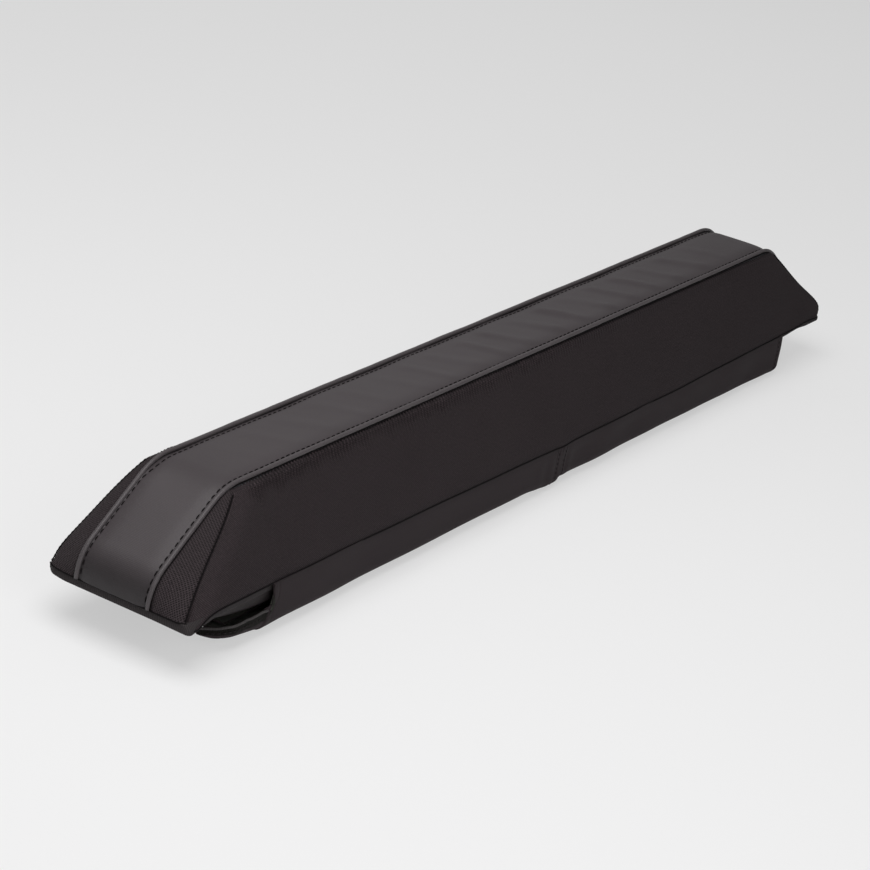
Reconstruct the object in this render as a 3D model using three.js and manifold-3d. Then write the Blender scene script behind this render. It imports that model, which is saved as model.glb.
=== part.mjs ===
// Padded cover for a flat roof load bar. A long foam block with sloped ends is dressed in sewn fabric.
// Four cloth flaps below it wrap the bar and close on each other with hook and loop tape.
// X runs along the bar, -Y is the front, +Z is up. The origin is the seat on the bar's top face.
import * as THREE from 'three';
import { mergeVertices } from 'three/addons/utils/BufferGeometryUtils.js';
import Module from 'manifold-3d';

const wasm = await Module();
wasm.setup();

// Driving sizes of the padded body, in millimetres.
const LENGTH = 760; // tip to tip, along the bar
const BASE_WIDTH = 99; // across the lower seam
const DECK_WIDTH = 48; // between the two welts
const BODY_HEIGHT = 55; // from the lower seam to the deck
const END_RUN = 57; // length of each sloped end of the deck strip
const NOSE_HEIGHT = 14; // upright stretch at each tip, before rounding
const NOSE_RADIUS = 24;
const CREASE_RADIUS = 40; // where the deck bends down into the slope
const HIP_RUN = 68; // from the tip to the top of the corner seams
const HIP_BULGE = 3.5; // how far the corner seams bow out from straight
const CORNER_RADIUS = 7; // base corners, seen from above

// Sheet thicknesses and small parts.
const COVER_T = 1.2;
const WELT_RADIUS = 1.6;
const BASE_T = 4; // grip mat under the foam
const BAND_T = 1.2; // ribbed tape round the mat's edge
const TAPE_T = 0.7; // each half of the hook and loop closure
const TAPE_WIDTH = 52;
const TAPE_MARGIN = 6; // bare cloth left beside the tape at a flap's ends
const BINDING_T = 0.8;
const BINDING_WIDTH = 6;
const GAP = 0.3; // clearance between pieces that touch

// Foam lips that keep the bar in the middle, one on each side of the mat.
const LIP_WIDTH = 5.5;
const LIP_HEIGHT = 8.8; // below the seat
const LIP_RAMP = 72; // length over which a lip rises from the tip to full height

// Cloth flaps that wrap the bar.
const FLAP_T = 1.4;
const FLAP_INSET = 0.3; // from the body's side to the flap's outer face
const SLEEVE_DROP = 28.5; // from the lower seam to the underside
const FLAP_BEND_RADIUS = 7;
const FLAP_REACH = 34; // how far a flap runs past the middle
const FLAP_NEAR_MARGIN = 35; // from the near tip to the front left flap
const FLAP_FAR_MARGIN = 60; // from a tip to the other flaps
const SPLIT_X = 17; // where the flaps are parted
const SPLIT_WIDTH = 2;
const WINDOW_LENGTH = 45; // cut-out at the front left flap's end
const WINDOW_DEPTH = 15; // from the lower seam to the cut-out's hem
const WINDOW_RADIUS = 6;

// Places that follow from the sizes.
const SEAM_Z = BASE_T + GAP;
const DECK_Z = SEAM_Z + BODY_HEIGHT;
const HALF_LENGTH = LENGTH / 2;
const HALF_BASE = BASE_WIDTH / 2;
const HALF_DECK = DECK_WIDTH / 2;
const SIDE_SPREAD = HALF_BASE - HALF_DECK;
const SIDE_FACE = Math.hypot(SIDE_SPREAD, BODY_HEIGHT);
const SIDE_SHIFT = SIDE_FACE / BODY_HEIGHT; // level shift of a side for each mm of inset
const SLOPE = Math.atan2(BODY_HEIGHT - NOSE_HEIGHT, END_RUN);
const FLOOR_Z = SEAM_Z - SLEEVE_DROP;
const FLAP_OUTER = HALF_BASE - FLAP_INSET;
const FLAP_INNER = FLAP_OUTER - FLAP_T;
const BAND_OUTER = FLAP_INNER - GAP;
const MAT_END = HALF_LENGTH - BAND_T - GAP;
const LIP_OUTER = BAND_OUTER - BAND_T - GAP;
const LIP_INNER = LIP_OUTER - LIP_WIDTH; // half the width that the bar has
const HOOK_Z = FLOOR_Z + FLAP_T + GAP;
const LOOP_Z = HOOK_Z + TAPE_T + GAP;
const BACK_FLOOR_Z = LOOP_Z + TAPE_T + GAP;
const FLAP_ENDS = {
  frontLeft: -HALF_LENGTH + FLAP_NEAR_MARGIN,
  left: -HALF_LENGTH + FLAP_FAR_MARGIN,
  splitLeft: SPLIT_X - SPLIT_WIDTH / 2,
  splitRight: SPLIT_X + SPLIT_WIDTH / 2,
  right: HALF_LENGTH - FLAP_FAR_MARGIN,
};
const WINDOW_Z = SEAM_Z - WINDOW_DEPTH;
const OVERCUT = 12; // how far a cutting solid runs past what it cuts
const ARC_STEPS = 6; // straight stretches in a rounded corner
const WELT_SIDES = 10;

// Turns a closed geometry into a solid that can be joined and cut.
function solidOf(geometry) {
  geometry.deleteAttribute('normal');
  geometry.deleteAttribute('uv');
  const merged = mergeVertices(geometry, 1e-5);
  const triVerts = new Uint32Array(merged.index.array);
  const vertProperties = new Float32Array(merged.attributes.position.array);
  return new wasm.Manifold(new wasm.Mesh({ numProp: 3, vertProperties, triVerts }));
}

// Turns a solid back into a flat-shaded geometry.
function geometryOf(solid) {
  const mesh = solid.getMesh();
  const geometry = new THREE.BufferGeometry();
  geometry.setAttribute('position', new THREE.BufferAttribute(new Float32Array(mesh.vertProperties), 3));
  geometry.setIndex(new THREE.BufferAttribute(new Uint32Array(mesh.triVerts), 1));
  const flat = geometry.toNonIndexed();
  flat.computeVertexNormals();
  return flat;
}

function extrude(outline, depth, axes) {
  const shape = new THREE.Shape(outline.map(([u, v]) => new THREE.Vector2(u, v)));
  const geometry = new THREE.ExtrudeGeometry(shape, { depth, bevelEnabled: false, steps: 1 });
  geometry.applyMatrix4(axes);
  return solidOf(geometry);
}

// Extrudes a (y, z) outline along X.
function extrudeX(outline, x0, x1) {
  const axes = new THREE.Matrix4().set(0, 0, 1, x0, 1, 0, 0, 0, 0, 1, 0, 0, 0, 0, 0, 1);
  return extrude(outline, x1 - x0, axes);
}

// Extrudes an (x, z) outline along Y.
function extrudeY(outline, y0, y1) {
  const axes = new THREE.Matrix4().set(1, 0, 0, 0, 0, 0, -1, y1, 0, 1, 0, 0, 0, 0, 0, 1);
  return extrude(outline, y1 - y0, axes);
}

// Extrudes an (x, y) outline along Z.
function extrudeZ(outline, z0, z1) {
  return extrude(outline, z1 - z0, new THREE.Matrix4().makeTranslation(0, 0, z0));
}

// Rounds the corners of an open path. Each corner is [u, v, radius], and the first and last stay sharp.
function roundedPath(corners) {
  const path = [];
  corners.forEach(([u, v, radius], i) => {
    const corner = new THREE.Vector2(u, v);
    if (!radius || i === 0 || i === corners.length - 1) {
      path.push([u, v]);
      return;
    }
    const before = new THREE.Vector2(...corners[i - 1].slice(0, 2)).sub(corner).normalize();
    const after = new THREE.Vector2(...corners[i + 1].slice(0, 2)).sub(corner).normalize();
    const half = Math.acos(THREE.MathUtils.clamp(before.dot(after), -1, 1)) / 2;
    const reach = radius / Math.tan(half);
    const middle = before.clone().add(after).normalize();
    const centre = corner.clone().addScaledVector(middle, radius / Math.sin(half));
    const start = corner.clone().addScaledVector(before, reach).sub(centre);
    const end = corner.clone().addScaledVector(after, reach).sub(centre);
    const turn = Math.atan2(start.cross(end), start.dot(end));
    for (let step = 0; step <= ARC_STEPS; step += 1) {
      const spoke = start.clone().rotateAround(new THREE.Vector2(), (turn * step) / ARC_STEPS);
      path.push([centre.x + spoke.x, centre.y + spoke.y]);
    }
  });
  return path;
}

// A rectangle with rounded corners about the origin.
function roundedRectangle(halfX, halfY, radius) {
  const outline = [];
  for (const [sx, sy, turn] of [[1, 1, 0], [-1, 1, 1], [-1, -1, 2], [1, -1, 3]]) {
    for (let step = 0; step <= ARC_STEPS; step += 1) {
      const angle = (turn + step / ARC_STEPS) * (Math.PI / 2);
      const x = sx * (halfX - radius) + radius * Math.cos(angle);
      const y = sy * (halfY - radius) + radius * Math.sin(angle);
      outline.push([x, y]);
    }
  }
  return outline;
}

// The deck strip's profile at one end, as [x, z] from the lower seam up to the flat deck.
function endProfile(inset) {
  const noseX = HALF_LENGTH - inset;
  const noseZ = SEAM_Z + NOSE_HEIGHT - (inset * (1 - Math.sin(SLOPE))) / Math.cos(SLOPE);
  const creaseX = HALF_LENGTH - END_RUN - (inset * (1 - Math.cos(SLOPE))) / Math.sin(SLOPE);
  const top = DECK_Z - inset;
  const path = roundedPath([
    [noseX, SEAM_Z],
    [noseX, noseZ, NOSE_RADIUS - inset],
    [creaseX, top, CREASE_RADIUS - inset],
    [0, top],
  ]);
  return path.slice(0, -1);
}

// Where a corner seam lies at a height, measured along X from the middle.
function hipX(z, inset) {
  const rise = THREE.MathUtils.clamp((z - SEAM_Z) / BODY_HEIGHT, 0, 1);
  return HALF_LENGTH - inset - HIP_RUN * rise + 4 * HIP_BULGE * rise * (1 - rise);
}

function sideY(z, inset) {
  return HALF_DECK + (SIDE_SPREAD * (DECK_Z - z)) / BODY_HEIGHT - inset * SIDE_SHIFT;
}

// One level outline of the body: the strip's end, the corner seam, then the same on the other three corners.
function bodyLevel(x, z, inset) {
  const stripY = sideY(DECK_Z - inset, inset);
  const level = Math.max(z, SEAM_Z);
  const hip = Math.min(hipX(level, inset), x);
  const side = Math.max(sideY(level, inset), stripY);
  return [[x, stripY], [hip, side], [-hip, side], [-x, stripY],
    [-x, -stripY], [-hip, -side], [hip, -side], [x, -stripY]].map(([px, py]) => [px, py, z]);
}

// A solid stacked from level outlines of eight points each.
function loft(levels) {
  const count = levels[0].length;
  const index = [];
  const quad = (a, b, c, d) => index.push(a, b, c, a, c, d);
  for (let row = 0; row + 1 < levels.length; row += 1) {
    for (let i = 0; i < count; i += 1) {
      const next = (i + 1) % count;
      const corners = [row * count + i, row * count + next, (row + 1) * count + next, (row + 1) * count + i];
      // The twisted faces are parted along mirrored diagonals, so that both ends match.
      const mirrored = i % 4 === 2;
      quad(...(mirrored ? [...corners.slice(1), corners[0]] : corners));
    }
  }
  const top = (levels.length - 1) * count;
  for (let i = 0; i + 1 < count / 2; i += 1) {
    quad(count - 1 - i, count - 2 - i, i + 1, i);
    quad(top + i, top + i + 1, top + count - 2 - i, top + count - 1 - i);
  }
  const geometry = new THREE.BufferGeometry();
  geometry.setAttribute('position', new THREE.Float32BufferAttribute(levels.flat(2), 3));
  geometry.setIndex(index);
  return solidOf(geometry);
}

// The body's outer form, moved inwards by the inset. It can run on below the lower seam to cut with.
function bodySolid(inset, bottomZ) {
  const profile = endProfile(inset);
  const levels = profile.map(([x, z]) => bodyLevel(x, z, inset));
  if (bottomZ < SEAM_Z) {
    levels.unshift(bodyLevel(profile[0][0], bottomZ, inset));
  }
  const plan = roundedRectangle(HALF_LENGTH - inset, HALF_BASE - inset * SIDE_SHIFT, CORNER_RADIUS - inset);
  return loft(levels).intersect(extrudeZ(plan, bottomZ, DECK_Z + OVERCUT));
}

// A round cord along the deck strip's edge, from one tip over the deck to the other.
function cordSolid(side, radius, overrun) {
  const right = endProfile(0);
  const path = [...right, ...right.map(([x, z]) => [-x, z]).reverse()];
  path[0] = [path[0][0], SEAM_Z - overrun];
  path[path.length - 1] = [path[path.length - 1][0], SEAM_Z - overrun];
  const positions = [];
  path.forEach(([x, z], i) => {
    const back = path[Math.max(i - 1, 0)];
    const ahead = path[Math.min(i + 1, path.length - 1)];
    const inward = new THREE.Vector2(x - back[0], z - back[1]).normalize();
    const outward = new THREE.Vector2(ahead[0] - x, ahead[1] - z).normalize();
    const along = inward.clone().add(outward).normalize();
    const stretch = 1 / Math.max(along.dot(i === 0 ? outward : inward), 0.5);
    for (let k = 0; k < WELT_SIDES; k += 1) {
      const angle = (2 * Math.PI * k) / WELT_SIDES;
      const lift = radius * Math.sin(angle) * stretch;
      positions.push(x + along.y * lift, side * HALF_DECK + radius * Math.cos(angle), z - along.x * lift);
    }
  });
  const index = [];
  for (let i = 0; i + 1 < path.length; i += 1) {
    for (let k = 0; k < WELT_SIDES; k += 1) {
      const next = (k + 1) % WELT_SIDES;
      const a = i * WELT_SIDES;
      const b = a + WELT_SIDES;
      index.push(a + k, b + k, b + next, a + k, b + next, a + next);
    }
  }
  const last = (path.length - 1) * WELT_SIDES;
  for (let k = 1; k + 1 < WELT_SIDES; k += 1) {
    index.push(0, k, k + 1);
    index.push(last, last + k + 1, last + k);
  }
  const geometry = new THREE.BufferGeometry();
  geometry.setAttribute('position', new THREE.Float32BufferAttribute(positions, 3));
  geometry.setIndex(index);
  return solidOf(geometry);
}

// The (x, z) outline that a side panel fills, moved outwards by the growth.
function sidePanelOutline(growth) {
  const heights = Array.from({ length: ARC_STEPS + 1 }, (_, i) => SEAM_Z + (BODY_HEIGHT * i) / ARC_STEPS);
  const right = heights.map((z) => [hipX(z, 0) + growth, z]);
  right.unshift([right[0][0], SEAM_Z - OVERCUT]);
  right.push([right[right.length - 1][0], DECK_Z + OVERCUT]);
  return [...right, ...right.map(([x, z]) => [-x, z]).reverse()];
}

// Cuts the fabric shell along the welts and the corner seams.
function coverPanels() {
  const shell = bodySolid(0, SEAM_Z).subtract(bodySolid(COVER_T, SEAM_Z - OVERCUT));
  const parted = [-1, 1].reduce((left, side) => left.subtract(cordSolid(side, WELT_RADIUS + GAP, OVERCUT)), shell);
  const far = HALF_BASE + OVERCUT;
  const near = HALF_DECK - WELT_RADIUS / 2; // inside the slot that the welt leaves
  const box = (x0, x1, y0, y1) => extrudeZ([[x0, y0], [x1, y0], [x1, y1], [x0, y1]], -OVERCUT, DECK_Z + OVERCUT);
  const ends = HALF_LENGTH + OVERCUT;
  const panels = { top_panel: parted.intersect(box(-ends, ends, -near, near)) };
  for (const [name, y0, y1] of [['front', -far, -near], ['back', near, far]]) {
    const band = parted.intersect(box(-ends, ends, y0, y1));
    panels[`side_panel_${name}`] = band.intersect(extrudeY(sidePanelOutline(-GAP / 2), y0, y1));
    const corners = band.subtract(extrudeY(sidePanelOutline(GAP / 2), y0, y1));
    panels[`end_gusset_${name}_left`] = corners.intersect(box(-ends, 0, y0, y1));
    panels[`end_gusset_${name}_right`] = corners.intersect(box(0, ends, y0, y1));
  }
  return panels;
}

function foamCore() {
  const block = bodySolid(COVER_T + GAP, SEAM_Z);
  return [-1, 1].reduce((left, side) => left.subtract(cordSolid(side, WELT_RADIUS + GAP, OVERCUT)), block);
}

// The mat fills the floor between the lips, and its underside is the seat.
function basePanel() {
  const half = LIP_INNER - GAP;
  return extrudeZ([[-MAT_END, -half], [MAT_END, -half], [MAT_END, half], [-MAT_END, half]], 0, BASE_T);
}

function baseBinding() {
  const outer = extrudeZ(roundedRectangle(HALF_LENGTH, BAND_OUTER, CORNER_RADIUS), 0, BASE_T);
  const inner = roundedRectangle(HALF_LENGTH - BAND_T, BAND_OUTER - BAND_T, CORNER_RADIUS - BAND_T);
  return outer.subtract(extrudeZ(inner, -OVERCUT, BASE_T + OVERCUT));
}

// A foam lip beside the mat hangs below the seat, and rises to it at both tips.
function sideLip(side) {
  const full = MAT_END - LIP_RAMP;
  const outline = [[-MAT_END, BASE_T], [-MAT_END, 0], [-full, -LIP_HEIGHT],
    [full, -LIP_HEIGHT], [MAT_END, 0], [MAT_END, BASE_T]];
  const [y0, y1] = side < 0 ? [-LIP_OUTER, -LIP_INNER] : [LIP_INNER, LIP_OUTER];
  const plan = roundedRectangle(MAT_END, LIP_OUTER, CORNER_RADIUS - BAND_T - GAP);
  return extrudeY(outline, y0, y1).intersect(extrudeZ(plan, -LIP_HEIGHT - OVERCUT, BASE_T + OVERCUT));
}

// A flap hangs from the lower seam on one side, bends and runs under the bar past the middle.
function flapSolid(side, floorZ, x0, x1) {
  const outer = roundedPath([
    [side * FLAP_OUTER, SEAM_Z - GAP],
    [side * FLAP_OUTER, floorZ, FLAP_BEND_RADIUS],
    [-side * FLAP_REACH, floorZ],
  ]);
  const inner = roundedPath([
    [side * FLAP_INNER, SEAM_Z - GAP],
    [side * FLAP_INNER, floorZ + FLAP_T, FLAP_BEND_RADIUS - FLAP_T],
    [-side * FLAP_REACH, floorZ + FLAP_T],
  ]);
  return extrudeX([...outer, ...inner.reverse()], x0, x1);
}

// The cut-out at the near end of the front left flap's wall.
function windowCut() {
  const outline = roundedPath([
    [FLAP_ENDS.frontLeft - OVERCUT, WINDOW_Z],
    [FLAP_ENDS.frontLeft + WINDOW_LENGTH, WINDOW_Z, WINDOW_RADIUS],
    [FLAP_ENDS.frontLeft + WINDOW_LENGTH, SEAM_Z + OVERCUT],
    [FLAP_ENDS.frontLeft - OVERCUT, SEAM_Z + OVERCUT],
  ]);
  return extrudeY(outline, -FLAP_OUTER - GAP, -FLAP_INNER + GAP);
}

function frontLeftFlap() {
  return flapSolid(-1, FLOOR_Z, FLAP_ENDS.frontLeft, FLAP_ENDS.splitLeft).subtract(windowCut());
}

// Folded tape over the hem of the cut-out.
function windowBinding() {
  const outside = FLAP_OUTER + GAP + BINDING_T;
  const inside = FLAP_INNER - GAP - BINDING_T;
  const top = WINDOW_Z + GAP + BINDING_T;
  const bottom = top - BINDING_WIDTH;
  const outline = [
    [-outside, bottom], [-outside, top], [-inside, top], [-inside, bottom],
    [-inside - BINDING_T, bottom], [-inside - BINDING_T, top - BINDING_T],
    [-outside + BINDING_T, top - BINDING_T], [-outside + BINDING_T, bottom],
  ];
  const end = FLAP_ENDS.frontLeft + WINDOW_LENGTH - WINDOW_RADIUS - GAP;
  return extrudeX(outline, FLAP_ENDS.frontLeft, end);
}

function closureTape(z, x0, x1) {
  const half = TAPE_WIDTH / 2;
  return extrudeX([[-half, z], [half, z], [half, z + TAPE_T], [-half, z + TAPE_T]], x0 + TAPE_MARGIN, x1 - TAPE_MARGIN);
}

// The cloths and foams, with their colour and gloss.
const coatedFabric = new THREE.MeshStandardMaterial({ color: 0x554f52, roughness: 0.45, metalness: 0 });
const sideFabric = new THREE.MeshStandardMaterial({ color: 0x322d2e, roughness: 0.85, metalness: 0 });
const gussetFabric = new THREE.MeshStandardMaterial({ color: 0x3a3536, roughness: 0.85, metalness: 0 });
const flapFabric = new THREE.MeshStandardMaterial({ color: 0x342f31, roughness: 0.8, metalness: 0 });
const weltFabric = new THREE.MeshStandardMaterial({ color: 0x4d484a, roughness: 0.6, metalness: 0 });
const ribbedTape = new THREE.MeshStandardMaterial({ color: 0x332f30, roughness: 0.75, metalness: 0 });
const gripMat = new THREE.MeshStandardMaterial({ color: 0x222021, roughness: 0.95, metalness: 0 });
const foam = new THREE.MeshStandardMaterial({ color: 0x2a2a2c, roughness: 1, metalness: 0 });
const closure = new THREE.MeshStandardMaterial({ color: 0x1b1a1b, roughness: 1, metalness: 0 });

const group = new THREE.Group();

function addPiece(name, solid, material) {
  const mesh = new THREE.Mesh(geometryOf(solid), material);
  mesh.name = name;
  group.add(mesh);
}

addPiece('foam_core', foamCore(), foam);
const panelMaterials = { top: coatedFabric, side: sideFabric, end: gussetFabric };
for (const [name, solid] of Object.entries(coverPanels())) {
  addPiece(name, solid, panelMaterials[name.split('_')[0]]);
}
addPiece('piping_front', cordSolid(-1, WELT_RADIUS, 0), weltFabric);
addPiece('piping_back', cordSolid(1, WELT_RADIUS, 0), weltFabric);
addPiece('base_panel', basePanel(), gripMat);
addPiece('base_binding', baseBinding(), ribbedTape);
addPiece('side_lip_front', sideLip(-1), gripMat);
addPiece('side_lip_back', sideLip(1), gripMat);

addPiece('front_flap_left', frontLeftFlap(), flapFabric);
addPiece('front_flap_right', flapSolid(-1, FLOOR_Z, FLAP_ENDS.splitRight, FLAP_ENDS.right), flapFabric);
addPiece('window_binding', windowBinding(), ribbedTape);
for (const [name, x0, x1] of [
  ['left', FLAP_ENDS.left, FLAP_ENDS.splitLeft],
  ['right', FLAP_ENDS.splitRight, FLAP_ENDS.right],
]) {
  addPiece(`back_flap_${name}`, flapSolid(1, BACK_FLOOR_Z, x0, x1), flapFabric);
  addPiece(`hook_tape_${name}`, closureTape(HOOK_Z, x0, x1), closure);
  addPiece(`loop_tape_${name}`, closureTape(LOOP_Z, x0, x1), closure);
}

export default group;
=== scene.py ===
import math
from collections import namedtuple

import bmesh
import bpy
import numpy as np
from mathutils import Matrix, Vector


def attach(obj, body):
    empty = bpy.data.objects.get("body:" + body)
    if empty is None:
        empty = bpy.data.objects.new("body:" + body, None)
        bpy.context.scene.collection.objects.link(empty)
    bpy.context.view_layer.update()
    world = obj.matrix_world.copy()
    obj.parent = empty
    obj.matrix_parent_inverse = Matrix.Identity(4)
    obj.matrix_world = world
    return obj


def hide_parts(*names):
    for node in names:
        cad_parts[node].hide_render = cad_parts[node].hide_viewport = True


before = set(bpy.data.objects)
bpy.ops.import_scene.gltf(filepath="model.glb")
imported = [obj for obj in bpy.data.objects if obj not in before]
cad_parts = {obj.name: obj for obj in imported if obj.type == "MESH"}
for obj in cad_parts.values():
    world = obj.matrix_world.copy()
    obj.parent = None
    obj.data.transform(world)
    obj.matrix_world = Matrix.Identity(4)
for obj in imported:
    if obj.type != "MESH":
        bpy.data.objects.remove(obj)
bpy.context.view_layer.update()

scene = bpy.context.scene
scene.view_settings.view_transform = "Standard"

# The viewpoint: a long lens near one end of the pad, a little above it and tilted.
# The place and the turn are those that lay the pad's corners and seams over the picture.
CAMERA_PLACE = (-1.6659, -0.8898, 0.7601)
CAMERA_AZIMUTH = math.radians(-61.0)
CAMERA_ELEVATION = math.radians(22.2)
CAMERA_ROLL = math.radians(9.7)
CAMERA_LENS = 134.65
SENSOR_WIDTH = 36.0


def set_camera():
    flat = math.cos(CAMERA_ELEVATION)
    back = Vector((
        math.sin(CAMERA_AZIMUTH) * flat,
        -math.cos(CAMERA_AZIMUTH) * flat,
        math.sin(CAMERA_ELEVATION),
    ))
    right = (-back).cross(Vector((0, 0, 1))).normalized()
    up = right.cross(-back)
    tilted_right = right * math.cos(CAMERA_ROLL) + up * math.sin(CAMERA_ROLL)
    tilted_up = up * math.cos(CAMERA_ROLL) - right * math.sin(CAMERA_ROLL)
    turn = Matrix((tilted_right, tilted_up, back)).transposed().to_4x4()
    lens = bpy.data.cameras.new("camera")
    lens.lens = CAMERA_LENS
    lens.sensor_width = SENSOR_WIDTH
    camera = bpy.data.objects.new("camera", lens)
    camera.matrix_world = Matrix.Translation(CAMERA_PLACE) @ turn
    scene.collection.objects.link(camera)
    scene.camera = camera


set_camera()

# The studio: a plain pale floor right under the flaps and soft light from a wide panel overhead.
# It hangs over the near half, so the far end is darker; two weak ones light the front and the satin.
FLOOR_Z = -0.0276
FLOOR_HALF = 14.0
FLOOR_COLOUR = (0.86, 0.86, 0.865, 1)
FLOOR_ROUGHNESS = 0.9
FLOOR_SPECULAR = 0.1
FLOOR_WHITENESS = 0.6
FLOOR_GLOW = 0.86
WORLD_COLOUR = (1.0, 0.99, 0.985, 1)
WORLD_STRENGTH = 0.24
LIGHTS = {
    "overhead_panel": dict(place=(-0.5, 0.0, 1.15), target=(-0.2, 0, 0), size=(1.1, 1.0), power=12),
    "satin_panel": dict(place=(1.05, 0.71, 0.62), target=(-0.15, 0, 0.06), size=(0.7, 0.4), power=0.5),
    "viewer_panel": dict(place=(-0.8, -1.05, 0.62), target=(-0.15, 0, 0), size=(0.9, 0.7), power=4.2),
}


def floor_material():
    """Pale paper that shows nearly white to the camera and keeps the shadow."""
    material = bpy.data.materials.new("floor_paper")
    material.use_nodes = True
    tree = material.node_tree
    shader = tree.nodes["Principled BSDF"]
    shader.inputs["Base Color"].default_value = FLOOR_COLOUR
    shader.inputs["Roughness"].default_value = FLOOR_ROUGHNESS
    shader.inputs["Specular IOR Level"].default_value = FLOOR_SPECULAR
    ray = tree.nodes.new("ShaderNodeLightPath")
    whiteness = tree.nodes.new("ShaderNodeMath")
    whiteness.operation = "MULTIPLY"
    whiteness.inputs[1].default_value = FLOOR_WHITENESS
    glow = tree.nodes.new("ShaderNodeEmission")
    glow.inputs["Strength"].default_value = FLOOR_GLOW
    mix = tree.nodes.new("ShaderNodeMixShader")
    tree.links.new(ray.outputs["Is Camera Ray"], whiteness.inputs[0])
    tree.links.new(whiteness.outputs[0], mix.inputs["Fac"])
    tree.links.new(shader.outputs[0], mix.inputs[1])
    tree.links.new(glow.outputs[0], mix.inputs[2])
    tree.links.new(mix.outputs[0], tree.nodes["Material Output"].inputs["Surface"])
    return material


def make_floor():
    corners = [(-FLOOR_HALF, -FLOOR_HALF), (FLOOR_HALF, -FLOOR_HALF)]
    corners += [(FLOOR_HALF, FLOOR_HALF), (-FLOOR_HALF, FLOOR_HALF)]
    mesh = bpy.data.meshes.new("floor")
    mesh.from_pydata([(x, y, FLOOR_Z) for x, y in corners], [], [(0, 1, 2, 3)])
    mesh.materials.append(floor_material())
    floor = bpy.data.objects.new("floor", mesh)
    scene.collection.objects.link(floor)


def make_light(name, place, target, size, power):
    lamp = bpy.data.lights.new(name, "AREA")
    lamp.shape = "RECTANGLE"
    lamp.size, lamp.size_y = size
    lamp.energy = power
    light = bpy.data.objects.new(name, lamp)
    light.location = place
    light.rotation_euler = (Vector(target) - Vector(place)).to_track_quat("-Z", "Y").to_euler()
    scene.collection.objects.link(light)


def light_studio():
    world = bpy.data.worlds.new("studio")
    world.use_nodes = True
    background = world.node_tree.nodes["Background"]
    background.inputs["Color"].default_value = WORLD_COLOUR
    background.inputs["Strength"].default_value = WORLD_STRENGTH
    scene.world = world
    for name, light in LIGHTS.items():
        make_light(name, **light)


make_floor()
light_studio()

# The foam block: one piece of firm closed-cell foam that gives the pad its form.
# It is cut to a bar with a sloping, blunt nose at each end, and lies inside the sewn cover.
MM = 0.001
HALF_LENGTH = 380.0
HALF_BASE = 49.5
HALF_DECK = 24.0
SEAM_Z = 4.3
BODY_HEIGHT = 55.0
DECK_Z = SEAM_Z + BODY_HEIGHT
END_RUN = 57.0
NOSE_HEIGHT = 14.0
NOSE_RADIUS = 24.0
CREASE_RADIUS = 40.0
HIP_RUN = 61.0
HIP_BULGE = 0.8
SHOULDER = 4.8
SHOULDER_START = (0.15, 0.85)
SHOULDER_STOP = (0.95, 0.985)
SHOULDER_KEPT = 0.4
SHOULDER_FADE = 80.0
FAR_FULLNESS = 130.0
CORNER_RADIUS = 5.0
LEAST_TURN = 0.02
FOOT_RADIUS = 9.0
FOOT_HEIGHT = 7.0
NEAR_CORNER_X = -379.0
NEAR_CORNER_REACH = 12.0
FRONT_CORNER_SHIFT = (0, -3.4, -0.3)
FRONT_CORNER_ACROSS = (26, 46)
FRONT_CORNER_UP = (0, 5.5)
BACK_CORNER_SHIFT = (2.0, -1.5, 0)
BACK_CORNER_ACROSS = (30, 47)
BACK_CORNER_UP = (4, 22)
FOAM_INSET = (2.6, 1.56)
FOAM_GAP_BELOW = 0.4
FOAM_GAP_ABOVE = 1.8
FOAM_LEVELS = 24
FOAM_GUSSET_COLUMNS = 10
FOAM_SIDE_COLUMNS = 30
FOAM_COLOUR = (0.045, 0.045, 0.048)
FOAM_CELLS = 900

Corner = namedtuple("Corner", "strip_end heading reach turn radius run middle")


def rounded(points, radii, steps=10):
    """A path in the plane with an arc of the given radius at each of its inner corners."""
    path = [np.array(points[0], float)]
    for before, corner, after, radius in zip(points, points[1:], points[2:], radii):
        back = np.subtract(before, corner) / np.linalg.norm(np.subtract(before, corner))
        ahead = np.subtract(after, corner) / np.linalg.norm(np.subtract(after, corner))
        half = math.acos(np.clip(back @ ahead, -1, 1)) / 2
        middle = corner + (back + ahead) / np.linalg.norm(back + ahead) * radius / math.sin(half)
        start = corner + back * radius / math.tan(half) - middle
        end = corner + ahead * radius / math.tan(half) - middle
        for share in np.linspace(0, 1, steps):
            spoke = start * (1 - share) + end * share
            path.append(middle + spoke / np.linalg.norm(spoke) * radius)
    path.append(np.array(points[-1], float))
    return np.array(path)


def lengths(path):
    """How far along a path each of its points lies."""
    return np.concatenate([[0], np.cumsum(np.linalg.norm(np.diff(path, axis=0), axis=1))])


def resampled(path, places):
    """The points of a path at the given distances along it."""
    along = lengths(path)
    return np.stack([np.interp(places, along, path[:, i]) for i in range(path.shape[1])], 1)


END_PROFILE = rounded(
    [
        (HALF_LENGTH, SEAM_Z),
        (HALF_LENGTH, SEAM_Z + NOSE_HEIGHT),
        (HALF_LENGTH - END_RUN, DECK_Z),
        (0, DECK_Z),
    ],
    [NOSE_RADIUS, CREASE_RADIUS],
)


def fade(value, start, end):
    """Goes smoothly from 0 at start to 1 at end."""
    share = np.clip((value - start) / (end - start), 0, 1)
    return share * share * (3 - 2 * share)


def hump(value, middle, width):
    """A smooth hump: 1 at the middle, and nearly gone at twice the width from it."""
    return np.exp(-(((value - middle) / width) ** 2))


def nose_x(z):
    """How far the nose reaches at a height."""
    rising = END_PROFILE[:-1]
    return np.interp(z, rising[:, 1], rising[:, 0])


def side_y(z):
    return HALF_DECK + (HALF_BASE - HALF_DECK) * (DECK_Z - z) / BODY_HEIGHT


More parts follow.
